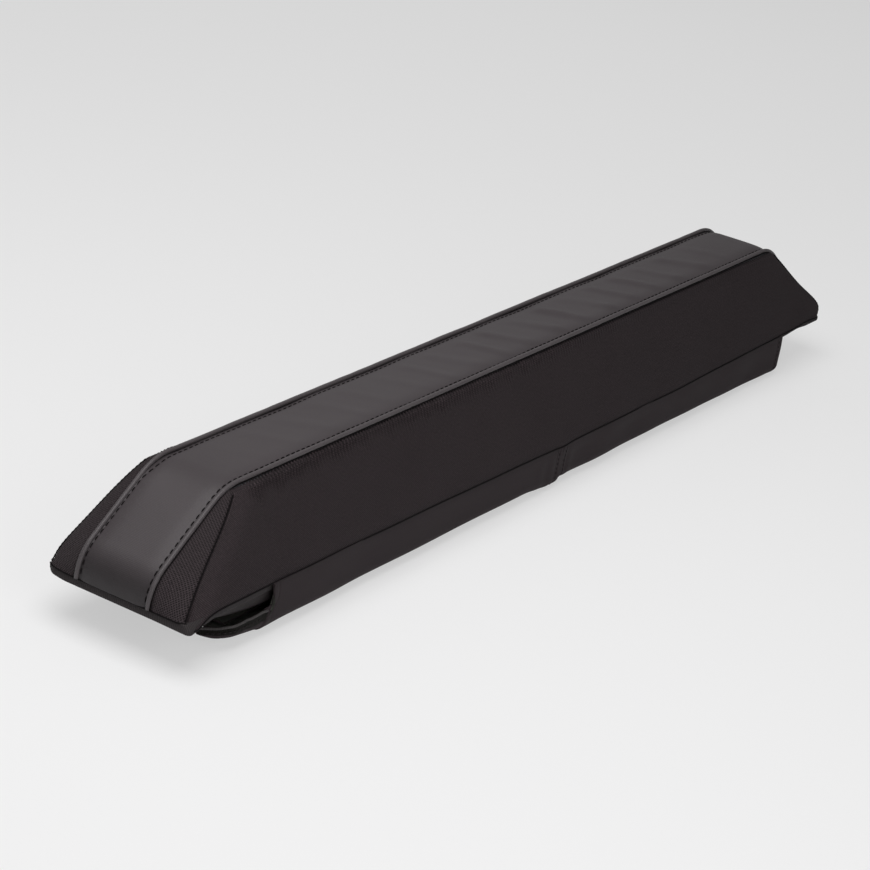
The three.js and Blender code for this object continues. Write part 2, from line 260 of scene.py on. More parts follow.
def hip_x(z):
    rise = (z - SEAM_Z) / BODY_HEIGHT
    return HALF_LENGTH - HIP_RUN * rise + 4 * HIP_BULGE * rise * (1 - rise)


def shoulder(z):
    """How far the hips stand out beyond the sloping sides, under the welt."""
    rise = (z - SEAM_Z) / BODY_HEIGHT
    return SHOULDER * fade(rise, *SHOULDER_START) * (1 - fade(rise, *SHOULDER_STOP))


def fuller(z):
    """How much further the hips of the far end stand out along the pad."""
    rise = np.clip((z - SEAM_Z) / BODY_HEIGHT, 0, 1)
    return FAR_FULLNESS * rise * (1 - rise) ** 5


def corner_at(z):
    """The rounded corner of the level outline at a height, where the gusset meets the side."""
    strip_end = np.array([nose_x(z), HALF_DECK])
    hip = np.array([hip_x(z), side_y(z) + shoulder(z)])
    reach = np.linalg.norm(hip - strip_end)
    heading = (hip - strip_end) / reach
    turn = max(math.acos(np.clip(-heading[0], -1, 1)), LEAST_TURN)
    softer = (FOOT_RADIUS - CORNER_RADIUS) * hump(z, SEAM_Z, FOOT_HEIGHT)
    radius = min(CORNER_RADIUS + softer, reach / 2 / math.tan(turn / 2))
    run = radius * math.tan(turn / 2)
    middle = np.array([hip[0] - run, hip[1] - radius])
    return Corner(strip_end, heading, reach, turn, radius, run, middle)


def arc_point(corner, angle):
    return corner.middle + corner.radius * np.stack([np.sin(angle), np.cos(angle)], -1)


def side_row(z, shares):
    """Points of the side panel at a height, from the hip seam (0) to the middle of the pad (1)."""
    corner = corner_at(z)
    bend = corner.radius * corner.turn / 2
    distance = shares * (bend + corner.middle[0])
    row = arc_point(corner, corner.turn / 2 - np.minimum(distance, bend) / corner.radius)
    row[:, 0] -= np.maximum(distance - bend, 0)
    row[:, 1] -= shoulder(z) * (1 - SHOULDER_KEPT) * fade(distance - bend, 0, SHOULDER_FADE)
    return row


def gusset_row(z, shares):
    """Points of the end gusset at a height, from the strip's edge (0) to the hip seam (1)."""
    corner = corner_at(z)
    straight = corner.reach - corner.run
    distance = shares * (straight + corner.radius * corner.turn / 2)
    on_line = corner.strip_end + np.outer(np.minimum(distance, straight), corner.heading)
    angle = corner.turn - np.maximum(distance - straight, 0) / corner.radius
    return np.where((distance <= straight)[:, None], on_line, arc_point(corner, angle))


def settled_corners(points):
    """Draws the foot of the near front corner out, and the near back corner in, as the cloth lies."""
    points = np.asarray(points, float)
    x, y, z = points.T
    near = hump(x, NEAR_CORNER_X, NEAR_CORNER_REACH)
    front = near * fade(-y, *FRONT_CORNER_ACROSS) * (1 - fade(z, *FRONT_CORNER_UP))
    back = near * fade(y, *BACK_CORNER_ACROSS) * (1 - fade(z, *BACK_CORNER_UP))
    shift = np.outer(front, FRONT_CORNER_SHIFT) + np.outer(back, BACK_CORNER_SHIFT)
    return points + shift


def add_piece(name, points, faces, material, nodes=(), cloth=None):
    """Makes a piece from points in millimetres. cloth gives each point's place on its cloth."""
    mesh = bpy.data.meshes.new(name)
    mesh.from_pydata((settled_corners(points) * MM).tolist(), [], [list(map(int, f)) for f in faces])
    mesh.shade_smooth()
    if cloth is not None:
        spot = mesh.attributes.new("cloth", "FLOAT_VECTOR", "POINT")
        spot.data.foreach_set("vector", np.asarray(cloth, np.float32).ravel())
    mesh.materials.append(material)
    piece = bpy.data.objects.new(name, mesh)
    scene.collection.objects.link(piece)
    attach(piece, "root")
    if nodes:
        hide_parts(*nodes)
    return piece


def add_node(tree, kind, **settings):
    node = tree.nodes.new(kind)
    for key, value in settings.items():
        setattr(node, key, value)
    return node


def object_place(tree):
    return add_node(tree, "ShaderNodeTexCoord").outputs["Object"]


def cells(tree, place, scale):
    """Distance from the middle of the nearest of many small cells."""
    node = add_node(tree, "ShaderNodeTexVoronoi")
    node.inputs["Scale"].default_value = scale
    tree.links.new(place, node.inputs["Vector"])
    return node.outputs["Distance"]


def mottle(tree, place, size_mm, detail=4.0):
    """Uneven patches of about the given size, from 0 to 1."""
    noise = add_node(tree, "ShaderNodeTexNoise")
    noise.inputs["Scale"].default_value = 1 / size_mm
    noise.inputs["Detail"].default_value = detail
    tree.links.new(place, noise.inputs["Vector"])
    return noise.outputs["Fac"]


def spread(tree, value, low, high):
    """Maps 0..1 to low..high."""
    node = add_node(tree, "ShaderNodeMapRange")
    node.inputs["To Min"].default_value = low
    node.inputs["To Max"].default_value = high
    node.clamp = False
    tree.links.new(value, node.inputs["Value"])
    return node.outputs["Result"]


def dye(tree, shader, colour, amounts):
    """Gives a material its colour: each amount is a socket of factors, where 1 changes nothing."""
    result = None
    for amount in amounts:
        mix = add_node(tree, "ShaderNodeMix", data_type="RGBA", blend_type="MULTIPLY")
        mix.inputs["Factor"].default_value = 1.0
        if result is None:
            mix.inputs["A"].default_value = (*colour, 1)
        else:
            tree.links.new(result, mix.inputs["A"])
        tree.links.new(amount, mix.inputs["B"])
        result = mix.outputs["Result"]
    tree.links.new(result, shader.inputs["Base Color"])


def bump(tree, shader, height, depth_mm):
    node = add_node(tree, "ShaderNodeBump")
    node.inputs["Strength"].default_value = 1.0
    node.inputs["Distance"].default_value = depth_mm * MM
    tree.links.new(height, node.inputs["Height"])
    tree.links.new(node.outputs["Normal"], shader.inputs["Normal"])


def new_material(name, roughness, specular):
    material = bpy.data.materials.new(name)
    material.use_nodes = True
    tree = material.node_tree
    shader = tree.nodes["Principled BSDF"]
    shader.inputs["Roughness"].default_value = roughness
    shader.inputs["Specular IOR Level"].default_value = specular
    return material, tree, shader


def foam_material():
    material, tree, shader = new_material("closed_cell_foam", 0.85, 0.25)
    pores = cells(tree, object_place(tree), FOAM_CELLS)
    dye(tree, shader, FOAM_COLOUR, [spread(tree, pores, 0.75, 1.25)])
    bump(tree, shader, pores, 0.25)
    return material


def foam_ring(z):
    """One level of the foam block, all the way round."""
    gusset_part = gusset_row(z, np.linspace(0, 1, FOAM_GUSSET_COLUMNS))[1:]
    side_part = side_row(z, np.linspace(0, 1, FOAM_SIDE_COLUMNS))[1:]
    quarter = np.concatenate([gusset_part, side_part])
    quarter = quarter - np.array(FOAM_INSET) * (quarter > 1)
    half = np.concatenate([quarter, quarter[::-1][1:] * (-1, 1)])
    ring = np.concatenate([half, half[::-1] * (1, -1)])
    return np.column_stack([ring, np.full(len(ring), z)])


def make_foam():
    levels = np.linspace(SEAM_Z + FOAM_GAP_BELOW, DECK_Z - FOAM_GAP_ABOVE, FOAM_LEVELS)
    rings = np.array([foam_ring(z) for z in levels])
    count = rings.shape[1]
    points = np.concatenate([rings.reshape(-1, 3), [(0, 0, levels[0])], [(0, 0, levels[-1])]])
    low, high = FOAM_LEVELS * count, FOAM_LEVELS * count + 1
    last = (FOAM_LEVELS - 1) * count
    faces = []
    for here in range(0, last, count):
        above = here + count
        for i in range(count):
            j = (i + 1) % count
            faces.append((above + i, above + j, here + j, here + i))
    for i in range(count):
        j = (i + 1) % count
        faces.append((i, j, low))
        faces.append((last + j, last + i, high))
    foam = add_piece("foam_block", points, faces, foam_material(), ["foam_core"])


make_foam()

# The grip mat: a ribbed sheet of tacky foam rubber on the underside, between the two lips.
# It lies on the crossbar and keeps the pad from creeping along it.
MAT_HALF_LENGTH = 378.5
MAT_HALF_WIDTH = 40.2
MAT_THICKNESS = 4.0
MAT_RIB_PITCH = 4.0
MAT_RIB_DEPTH = 0.7
MAT_ROWS = 40
MAT_COLUMNS = 161
MAT_COLOUR = (0.022, 0.022, 0.022)


def mat_material():
    material, tree, shader = new_material("grip_rubber", 0.8, 0.35)
    place = object_place(tree)
    grain = mottle(tree, place, 0.0012, 3.0)
    patches = mottle(tree, place, 0.05)
    dye(tree, shader, MAT_COLOUR, [spread(tree, grain, 0.7, 1.3), spread(tree, patches, 0.8, 1.2)])
    bump(tree, shader, grain, 0.3)
    return material


def grid_faces(rows, columns, flip=False, first=0):
    """The quads of a grid whose points are listed row by row."""
    at = first + np.arange(rows * columns).reshape(rows, columns)
    quads = np.stack([at[:-1, :-1], at[:-1, 1:], at[1:, 1:], at[1:, :-1]], -1).reshape(-1, 4)
    return quads[:, ::-1] if flip else quads


def closed_slab(low, high):
    """The points and faces of a closed slab from its two grids of points."""
    rows, columns = high.shape[:2]
    count = rows * columns
    at = np.arange(count).reshape(rows, columns)
    rim = np.concatenate([at[0, :], at[1:, -1], at[-1, :-1][::-1], at[1:-1, 0][::-1]])
    following = np.roll(rim, -1)
    faces = [
        grid_faces(rows, columns),
        grid_faces(rows, columns, flip=True, first=count),
        np.stack([following, rim, rim + count, following + count], -1),
    ]
    return np.concatenate([high.reshape(-1, 3), low.reshape(-1, 3)]), np.concatenate(faces)


def make_mat():
    across = np.linspace(-MAT_HALF_WIDTH, MAT_HALF_WIDTH, MAT_COLUMNS)
    along = np.linspace(-MAT_HALF_LENGTH, MAT_HALF_LENGTH, MAT_ROWS)
    x, y = np.meshgrid(along, across, indexing="ij")
    valley = MAT_RIB_DEPTH * (0.5 + 0.5 * np.cos(2 * math.pi * y / MAT_RIB_PITCH)) ** 2
    low = np.stack([x, y, valley], -1)
    high = np.stack([x, y, np.full_like(x, MAT_THICKNESS)], -1)
    points, faces = closed_slab(low, high)
    add_piece("grip_mat", points, faces[:, ::-1], mat_material(), ["base_panel"])


make_mat()

# The top strip: one long strip of coated cloth over the deck, both slopes and both noses.
# It is sewn to a welt along each side, with a row of topstitching, and has slanting drag ripples.
STRIP_HALF = 22.8
STRIP_THICKNESS = 0.8
STRIP_EDGE_ROWS = (22.8, 22.5, 22.2, 21.95, 21.7, 21.45, 21.2, 20.8, 20.3, 19.9, 19.5, 19.1, 18.5, 17.0)
STRIP_MIDDLE_ROWS = (-14.5, 14.5, 14)
STRIP_COARSE = (136, 9)
STRIP_CROWN_LIMIT = 1.2
STRIP_UNEVEN = 0.3
STRIP_RISE = 0.9
STRIP_RISE_REACH = (-2, 9)
STITCH_INSET = 1.1
FRONT_STITCH_IN = 0.5
BACK_STITCH_IN = 2.2
STITCH_DIP = 0.16
STITCH_DIP_WIDTH = 0.5
FRONT_TUCK = 0.35
BACK_TUCK = 0.8
TUCK_WIDTH = 3.2
PUCKER_HEIGHT = 0.1
PUCKER_PITCH = 6.0
PUCKER_PLACE = 21.0
PUCKER_WIDTH = 1.4
RIPPLE_PITCH = 32.0
RIPPLE_SLANT = 0.52
RIPPLE_HEIGHT = 1.6
RIPPLE_SHARPNESS = 2.6
RIPPLE_START = 3.25
RIPPLE_GROWTH = (-120, 40)
RIPPLE_NEAR_END = (-310, -240)
RIPPLE_FAR_END = (225, 300)
RIPPLE_HALF_WIDTH = (10, 20)
# How much shade is painted over the strip's noses, which face away from the light.
NOSE_SHADE = 1.3
NOSE_SHADE_HEIGHT = (11, 27)
STRIP_COLOUR = (0.050, 0.0415, 0.0448)
CLOTH_SETTINGS = dict(
    quality=6,
    mass=0.3,
    tension_stiffness=25,
    compression_stiffness=25,
    shear_stiffness=10,
    bending_stiffness=4.0,
    vertex_group_mass="seams",
    use_pressure=True,
    uniform_pressure_force=3.0,
)
SETTLE_STEPS = 20
PAD_MIDDLE = np.array([0, 0, 20.0])
CRISP_ANGLE = math.radians(55)

half_path = resampled(END_PROFILE, np.linspace(0, lengths(END_PROFILE)[-1], 202))
STRIP_PATH = np.concatenate([half_path * (-1, 1), half_path[::-1][1:]])
STRIP_ALONG = lengths(STRIP_PATH)
strip_heading = np.gradient(STRIP_PATH, STRIP_ALONG, axis=0)
strip_heading /= np.linalg.norm(strip_heading, axis=1)[:, None]
STRIP_NORMAL = np.column_stack([-strip_heading[:, 1], 0 * STRIP_ALONG, strip_heading[:, 0]])
ON_DECK = fade(STRIP_PATH[:, 1], 50, 58)


def wander(a, b, size, seed):
    """A smooth unevenness of about the given size in millimetres, between about -1 and 1."""
    draw = np.random.RandomState(seed)
    total = 0
    for _ in range(7):
        angle = draw.uniform(0, 2 * math.pi)
        wave = size * draw.uniform(0.6, 1.8)
        phase = draw.uniform(0, 2 * math.pi)
        total = total + np.sin(2 * math.pi * (a * math.cos(angle) + b * math.sin(angle)) / wave + phase)
    return total / 3.2


def normals_of(grid):
    """Unit normals of a grid of points, along columns times rows."""
    normal = np.cross(np.gradient(grid, axis=1), np.gradient(grid, axis=0))
    return normal / np.maximum(np.linalg.norm(normal, axis=2), 1e-9)[..., None]


def sewn_down(grid):
    """A sheet of cloth in the shape of a grid, held at its edges and pressed from inside."""
    rows, columns = grid.shape[:2]
    mesh = bpy.data.meshes.new("settling_cloth")
    mesh.from_pydata((grid.reshape(-1, 3) * MM).tolist(), [], grid_faces(rows, columns).tolist())
    sheet = bpy.data.objects.new("settling_cloth", mesh)
    scene.collection.objects.link(sheet)
    at = np.arange(rows * columns).reshape(rows, columns)
    edges = np.unique(np.concatenate([at[0], at[-1], at[:, 0], at[:, -1]]))
    sheet.vertex_groups.new(name="seams").add(edges.tolist(), 1.0, "REPLACE")
    cloth = sheet.modifiers.new("cloth", "CLOTH")
    for key, value in CLOTH_SETTINGS.items():
        setattr(cloth.settings, key, value)
    cloth.settings.effector_weights.gravity = 0
    cloth.point_cache.frame_start = 1
    cloth.point_cache.frame_end = SETTLE_STEPS
    return sheet


def settle(grid, limit):
    """How far cloth that is sewn down at its edges lifts when the foam presses it outwards."""
    sheet = sewn_down(grid)
    for step in range(1, SETTLE_STEPS + 1):
        scene.frame_set(step)
    settled = sheet.evaluated_get(bpy.context.evaluated_depsgraph_get()).to_mesh()
    moved = np.zeros(grid.size, np.float32)
    settled.vertices.foreach_get("co", moved)
    bpy.data.objects.remove(sheet)
    scene.frame_set(1)
    lift = ((moved.reshape(grid.shape) / MM - grid) * normals_of(grid)).sum(2)
    print("settled by", round(float(lift.min()), 2), "to", round(float(lift.max()), 2), "mm")
    return np.clip(lift, -limit, limit)


def finer(values, shares):
    """Smooth values between evenly spaced rows, at the given shares of the way along them."""
    last = len(values) - 1
    place = np.clip(shares, 0, 1) * last
    at = np.minimum(place.astype(int), last - 1)
    part = (place - at)[:, None]
    before, near = values[np.maximum(at - 1, 0)], values[at]
    far, after = values[at + 1], values[np.minimum(at + 2, last)]
    bend = 2 * before - 5 * near + 4 * far - after + part * (3 * (near - far) + after - before)
    return near + 0.5 * part * (far - before + part * bend)


def finer_grid(values, row_shares, column_shares):
    return finer(finer(values, row_shares).T, column_shares).T


def cloth_place(tree):
    """Where a point lies on its own cloth: millimetres along, millimetres across, and how much shade is
    painted there (below 0: painted light).
    """
    return add_node(tree, "ShaderNodeAttribute", attribute_name="cloth").outputs["Vector"]


def number(tree, operation, a, b):
    node = add_node(tree, "ShaderNodeMath", operation=operation)
    for socket, value in zip(node.inputs, (a, b)):
        if isinstance(value, (int, float)):
            socket.default_value = value
        else:
            tree.links.new(value, socket)
    return node.outputs[0]


def third_of(tree, place):
    """The last of the three numbers of a place."""
    split = add_node(tree, "ShaderNodeSeparateXYZ")
    tree.links.new(place, split.inputs[0])
    return split.outputs["Z"]


def fuzz(shader, weight, roughness):
    shader.inputs["Sheen Weight"].default_value = weight
    shader.inputs["Sheen Roughness"].default_value = roughness


def stripes(tree, place, direction, pitch_mm):
    """Soft bands across a direction, one to each pitch."""
    bands = add_node(tree, "ShaderNodeTexWave", wave_type="BANDS", bands_direction=direction)
    bands.inputs["Scale"].default_value = math.pi / (10 * pitch_mm)
    tree.links.new(place, bands.inputs["Vector"])
    return bands.outputs["Fac"]


def weave(tree, place, pitch_mm, turn_degrees, sharp=1.0):
    """Crossing threads of a plain weave, 0 in the holes and 1 on the crowns."""
    turned = add_node(tree, "ShaderNodeMapping")
    turned.inputs["Rotation"].default_value = (0, 0, math.radians(turn_degrees))
    tree.links.new(place, turned.inputs["Vector"])
    threads = [stripes(tree, turned.outputs["Vector"], direction, pitch_mm) for direction in ("X", "Y")]
    crossing = [number(tree, "POWER", thread, sharp) for thread in threads]
    return number(tree, "MAXIMUM" if sharp > 1 else "MULTIPLY", *crossing)


def coated_cloth(
    name, colour, roughness=0.48, thread_mm=0.9, painted_shade_strength=0.4, grain_depth=0.05, specular=0.36
):
    """Tightly woven cloth with a thin coating: a soft satin shine and a faint even grain."""
    material, tree, shader = new_material(name, roughness, specular)
    fuzz(shader, 0.02, 0.45)
    place = cloth_place(tree)
    patches = mottle(tree, place, 42.0)
    grain = mottle(tree, place, 1.1, 2.0)
    threads = weave(tree, place, thread_mm, 0.0)
    dye(tree, shader, colour, [
        spread(tree, patches, 0.86, 1.14),
        spread(tree, grain, 0.93, 1.07),
        spread(tree, threads, 0.94, 1.05),
        # Painted shade and painted light from the third cloth number: darker by the given strength where it
        # is 1, lighter where it is below 0.
        spread(tree, third_of(tree, place), 1.0, 1.0 - painted_shade_strength),
    ])
    tree.links.new(spread(tree, patches, roughness - 0.06, roughness + 0.08), shader.inputs["Roughness"])
    bump(tree, shader, number(tree, "ADD", number(tree, "MULTIPLY", threads, 0.6), grain), grain_depth)
    return material


def add_closed_piece(name, points, faces, material, nodes=(), cloth=None):
    """A piece with all its faces turned outwards and only its real edges left sharp."""
    piece = add_piece(name, points, faces, material, nodes, cloth)
    work = bmesh.new()
    work.from_mesh(piece.data)
    bmesh.ops.recalc_face_normals(work, faces=work.faces)
    work.to_mesh(piece.data)
    work.free()
    piece.data.shade_smooth()
    piece.data.set_sharp_from_angle(angle=CRISP_ANGLE)
    return piece


def add_cloth(name, outer, thickness, places, material, nodes):
    """A cut piece of cloth from its outer face: a grid of points and where each lies on the cloth."""
    outward = normals_of(outer)
    outward = outward * np.sign((outward * (outer - PAD_MIDDLE)).sum())
    points, faces = closed_slab(outer - outward * thickness, outer)
    flat = places.reshape(-1, 3)
    return add_closed_piece(name, points, faces, material, nodes, np.concatenate([flat, flat]))


def strip_surface(path, across):
    """The strip's plain surface: one row of points along a path for each place across it."""
    return np.array([np.column_stack([path[:, 0], np.full(len(path), y), path[:, 1]]) for y in across])


def strip_crown():
    """The strip's crown, as the cloth settles on a coarse copy of it."""
    columns, rows = STRIP_COARSE
    path = resampled(STRIP_PATH, np.linspace(0, 1, columns) * STRIP_ALONG[-1])
    return settle(strip_surface(path, np.linspace(-STRIP_HALF, STRIP_HALF, rows)), STRIP_CROWN_LIMIT)


def ripples(x, y):
    """Slanting drag ripples, strongest over the far half of the deck."""
    phase = (x + RIPPLE_SLANT * y + 3.5 * wander(x, y * 0.4, 120, 4)) / RIPPLE_PITCH - RIPPLE_START
    ridge = (0.5 + 0.5 * np.cos(2 * math.pi * phase)) ** RIPPLE_SHARPNESS
    strength = 0.25 + 0.75 * fade(x, *RIPPLE_GROWTH)
    strength = strength * (1 - fade(x, *RIPPLE_FAR_END)) * fade(x, *RIPPLE_NEAR_END)
    strength = strength * (0.75 + 0.35 * wander(x, y, 70, 9))
    return RIPPLE_HEIGHT * strength * ridge * (1 - fade(np.abs(y + 1), *RIPPLE_HALF_WIDTH))


def stitch_line(side):
    """How far across the strip the topstitch runs, at each point of its path."""
    further_in = (FRONT_STITCH_IN if side < 0 else BACK_STITCH_IN) * ON_DECK
    return side * (STRIP_HALF - STITCH_INSET - further_in)


def strip_relief(x, y):
    """What lifts the strip off its plain surface beside its crown."""
    inside = STRIP_HALF - np.abs(y)
    sewn = np.where(y < 0, y - stitch_line(-1), y - stitch_line(1))
    tuck = np.where(y < 0, FRONT_TUCK, BACK_TUCK)
    lift = ripples(x, y) + STRIP_UNEVEN * wander(x, y * 1.4, 75, 2)
    lift = lift - STITCH_DIP * hump(sewn, 0, STITCH_DIP_WIDTH)
    lift = lift + STRIP_RISE * fade(inside, *STRIP_RISE_REACH)
    lift = lift - tuck * hump(inside, 0, TUCK_WIDTH) * ON_DECK
    pucker = PUCKER_HEIGHT * np.sin(2 * math.pi * STRIP_ALONG / PUCKER_PITCH)
    return lift + pucker * hump(np.abs(y), PUCKER_PLACE, PUCKER_WIDTH)


def make_strip():
    edge = np.array(STRIP_EDGE_ROWS)
    across = np.concatenate([-edge, np.linspace(*STRIP_MIDDLE_ROWS), edge[::-1]])
    grid = strip_surface(STRIP_PATH, across)
    x, y = grid[..., 0], grid[..., 1]
    crown = finer_grid(strip_crown(), (across / STRIP_HALF + 1) / 2, STRIP_ALONG / STRIP_ALONG[-1])
    grid = grid + STRIP_NORMAL[None] * (crown + strip_relief(x, y))[..., None]
    # Painted shade: darker along both edges beside the welts, and darker over the noses, where less light
    # falls.
    painted_shade = np.exp(-(STRIP_HALF - np.abs(y)) / 0.7)
    painted_shade = painted_shade + NOSE_SHADE * (1 - fade(STRIP_PATH[:, 1], *NOSE_SHADE_HEIGHT))
    places = np.stack([np.broadcast_to(STRIP_ALONG, y.shape), y, painted_shade], -1)
    material = coated_cloth("strip_cloth", STRIP_COLOUR)
    strip = add_cloth("top_strip", grid, STRIP_THICKNESS, places, material, ["top_panel"])
    return grid


strip_grid = make_strip()

# The welts: a thin cord wrapped in coated cloth along both edges of the top strip, tip to tip.
# Each is caught in the seam between the strip and the panels; a near-black cord in the groove outside it
# paints that seam's shade as a dark line.
WELT_RADIUS = 1.38
WELT_RISE = 0.2
WELT_SIDES = 18
WELT_SHADE_CORD_RADIUS = 0.42
WELT_SHADE_CORD_GAP = 0.12
STITCH_PITCH = 5.0
STITCH_LENGTH = 3.5
STITCH_RADIUS = 0.36
STITCH_SIDES = 6
STITCH_STATIONS = np.array([-1, -0.75, 0, 0.75, 1.0])
STITCH_SWELL = np.array([0.35, 0.85, 1.0, 0.85, 0.35])
STITCH_ARCH = np.array([-0.3, 0.0, 0.12, 0.0, -0.3])
STITCH_RISE = 0.16
DECK_WAY = np.array([0, 1.0, -0.8])
WELT_COLOUR = (0.070, 0.0605, 0.0640)
SEAM_THREAD_AND_SHADE_COLOUR = (0.0045, 0.0035, 0.0038)
THREAD_COLOUR = (0.007, 0.0055, 0.0060)


def unit(vectors):
    return vectors / np.linalg.norm(vectors, axis=-1)[..., None]


def tube(path, radii, sides, hint, closed=False):
    """Points, faces and cloth places of a round cord along a path. hint is a direction across it."""
    count = len(path)
    heading = np.roll(path, -1, 0) - np.roll(path, 1, 0) if closed else np.gradient(path, axis=0)
    heading = unit(heading)
    hint = np.broadcast_to(np.asarray(hint, float), path.shape)
    first = unit(hint - (hint * heading).sum(1)[:, None] * heading)
    second = np.cross(heading, first)
    angles = np.linspace(0, 2 * math.pi, sides, endpoint=False)
    radii = np.broadcast_to(np.asarray(radii, float), (count,))
    around = first[:, None] * np.cos(angles)[:, None] + second[:, None] * np.sin(angles)[:, None]
    points = path[:, None] + around * radii[:, None, None]
    at = np.arange(count * sides).reshape(count, sides)
    here, ahead = (at, np.roll(at, -1, 0)) if closed else (at[:-1], at[1:])
    quads = np.stack([here, np.roll(here, -1, 1), np.roll(ahead, -1, 1), ahead], -1)
    faces = quads.reshape(-1, 4).tolist()
    if not closed:
        faces += [at[0][::-1].tolist(), at[-1].tolist()]
    along = lengths(path)[:, None]
    places = np.stack(np.broadcast_arrays(along, angles * 1.6, 0.0 * along), -1)
    return points.reshape(-1, 3), faces, places.reshape(-1, 3)


def add_tube(name, path, radii, sides, hint, material, nodes=(), closed=False):
    points, faces, places = tube(path, radii, sides, hint, closed)
    return add_closed_piece(name, points, faces, material, nodes, places)


def stitch_bead(length):
    """One stitch: its points as distances along the seam, out of the cloth and across, and its faces."""
    angles = np.linspace(0, 2 * math.pi, STITCH_SIDES, endpoint=False)
    swell = STITCH_SWELL[:, None] * STITCH_RADIUS
    along = STITCH_STATIONS[:, None] * length / 2 + 0 * angles
    points = np.stack([along, STITCH_ARCH[:, None] + swell * np.cos(angles), swell * np.sin(angles)], -1)
    at = np.arange(along.size).reshape(along.shape)
    turned = np.roll(at, -1, 1)
    faces = np.stack([at[:-1], turned[:-1], turned[1:], at[1:]], -1).reshape(-1, 4).tolist()
    return points.reshape(-1, 3), faces + [at[0][::-1].tolist(), at[-1].tolist()]


def add_stitches(name, path, outward, material, pitch=STITCH_PITCH, length=STITCH_LENGTH):
    """A row of separate stitches on a path, each a short rounded bead of thread."""
    along = lengths(path)
    places = np.arange(pitch, along[-1] - pitch, pitch)
    heading = unit(resampled(path, places + 0.3) - resampled(path, places - 0.3))
    up = np.stack([np.interp(places, along, outward[:, i]) for i in range(3)], 1)
    up = unit(up - (up * heading).sum(1)[:, None] * heading)
    bead, bead_faces = stitch_bead(length)
    points = resampled(path, places)[:, None] + bead @ np.stack([heading, up, np.cross(heading, up)], 1)
    faces = [np.add(face, i * len(bead)) for i in range(len(places)) for face in bead_faces]
    return add_closed_piece(name, points.reshape(-1, 3), faces, material)


def thread_material(name, colour):
    material, tree, shader = new_material(name, 0.7, 0.08)
    twist = mottle(tree, object_place(tree), 0.0008, 1.0)
    dye(tree, shader, colour, [spread(tree, twist, 0.6, 1.5)])
    bump(tree, shader, twist, 0.1)
    return material


def down_the_panel():
    """The direction in the panels, square to the welt, at each point of the strip's path."""
    directions = []
    for (x, z), heading in zip(STRIP_PATH, strip_heading):
        level = np.array([(hip_x(z) - nose_x(z)) * np.sign(x), side_y(z) - HALF_DECK + 1e-6, 0])
        ahead = np.array([heading[0], 0, heading[1]])
        slope_way = unit(level - (level @ ahead) * ahead)
        on_deck = fade(z, 49, 59)
        directions.append(unit(slope_way * (1 - on_deck) + unit(DECK_WAY) * on_deck))
    return np.array(directions)


def sew_path(side):
    """The line of the topstitch on the strip's own finished surface."""
    across = strip_grid[:, 0, 1]
    path = []
    for column, y in enumerate(stitch_line(side)):
        x, z = (np.interp(y, across, strip_grid[:, column, axis]) for axis in (0, 2))
        path.append((x, y, z))
    return np.array(path) + STRIP_NORMAL * STITCH_RISE


def make_welts():
    material = coated_cloth("welt_cloth", WELT_COLOUR, 0.4, 0.8, 0.0, 0.12)
    away = down_the_panel()
    level = 0 * STRIP_ALONG
    for side, name in ((-1, "front"), (1, "back")):
        wobble = 0.12 * wander(STRIP_ALONG, level, 90, 11 + side)
        centre = strip_surface(STRIP_PATH, [side * HALF_DECK])[0]
        centre = centre + STRIP_NORMAL * (wobble + WELT_RISE)[:, None]
        radii = WELT_RADIUS + 0.05 * wander(STRIP_ALONG, level, 14, 21 + side)
        node = f"piping_{name}"
        add_tube(f"welt_{name}", centre, radii, WELT_SIDES, (0, 1, 0), material, [node])
        # A near-black cord in the groove outside the welt: painted shade, drawn as the dark line of the seam.
        groove = centre + away * (1, side, 1) * (WELT_RADIUS + WELT_SHADE_CORD_GAP)
        add_tube(f"welt_shade_cord_{name}", groove, WELT_SHADE_CORD_RADIUS, 8, (0, 1, 0), seam_thread_and_shade)
        add_stitches(f"topstitch_{name}", sew_path(side), STRIP_NORMAL, stitch_thread)


# Near-black thread for the hip and lower seams, also used for the painted shade cord beside the welts.
seam_thread_and_shade = thread_material("seam_thread_and_shade", SEAM_THREAD_AND_SHADE_COLOUR)
stitch_thread = thread_material("stitch_thread", THREAD_COLOUR)
make_welts()

# The side panels: matte, finely woven cloth, one each at the front and the back.
# The needle has drawn it into short ribs under the welt, and the foam rounds it out a little.
PANEL_TOP_Z = 57.9
PANEL_THICKNESS = 0.8
PANEL_HALF_COLUMNS = 560
PANEL_HIP_COLUMNS = 25
PANEL_HIP_SHARE = 0.03
PANEL_COARSE = (11, 64)
PANEL_LIMIT = 2.2
PANEL_UNEVEN = 0.35
RIB_PITCH = 3.0
RIB_HEIGHT = 1.0
RIB_REACH = 6.6
RIB_FADE = (-100, 140)
RIB_LEAST = 0.14
RIB_NEAR_END = (-316, -306)
RIB_FAR_END = (300, 316)
RIB_SHARPNESS = 1.2
# Painted shade in the rib furrows and painted light on the rib crests.
FURROW_PAINTED_SHADE = 2.2
CREST_PAINTED_LIGHT = 0.9
SEAM_PINCH = 0.5
SEAM_PINCH_WIDTH = 0.9
# How much light is painted onto the panels near the hips at the near end.
HIP_PAINTED_LIGHT = 0.7
NEAR_SAG = 3.1
NEAR_SAG_START = -303
SEAM_SAG = 2.75
SAG_MIDDLE = 5
SPLIT_SAG = 0.8
FAR_TIP_LIFT = 1.0
SAG_FALL = 1.3
CORNER_DIP = 3.8
CORNER_DIP_X = -370
CORNER_DIP_WIDTH = 12
CORNER_DIP_FALL = 6
PANEL_COLOUR = (0.0305, 0.0232, 0.0254)


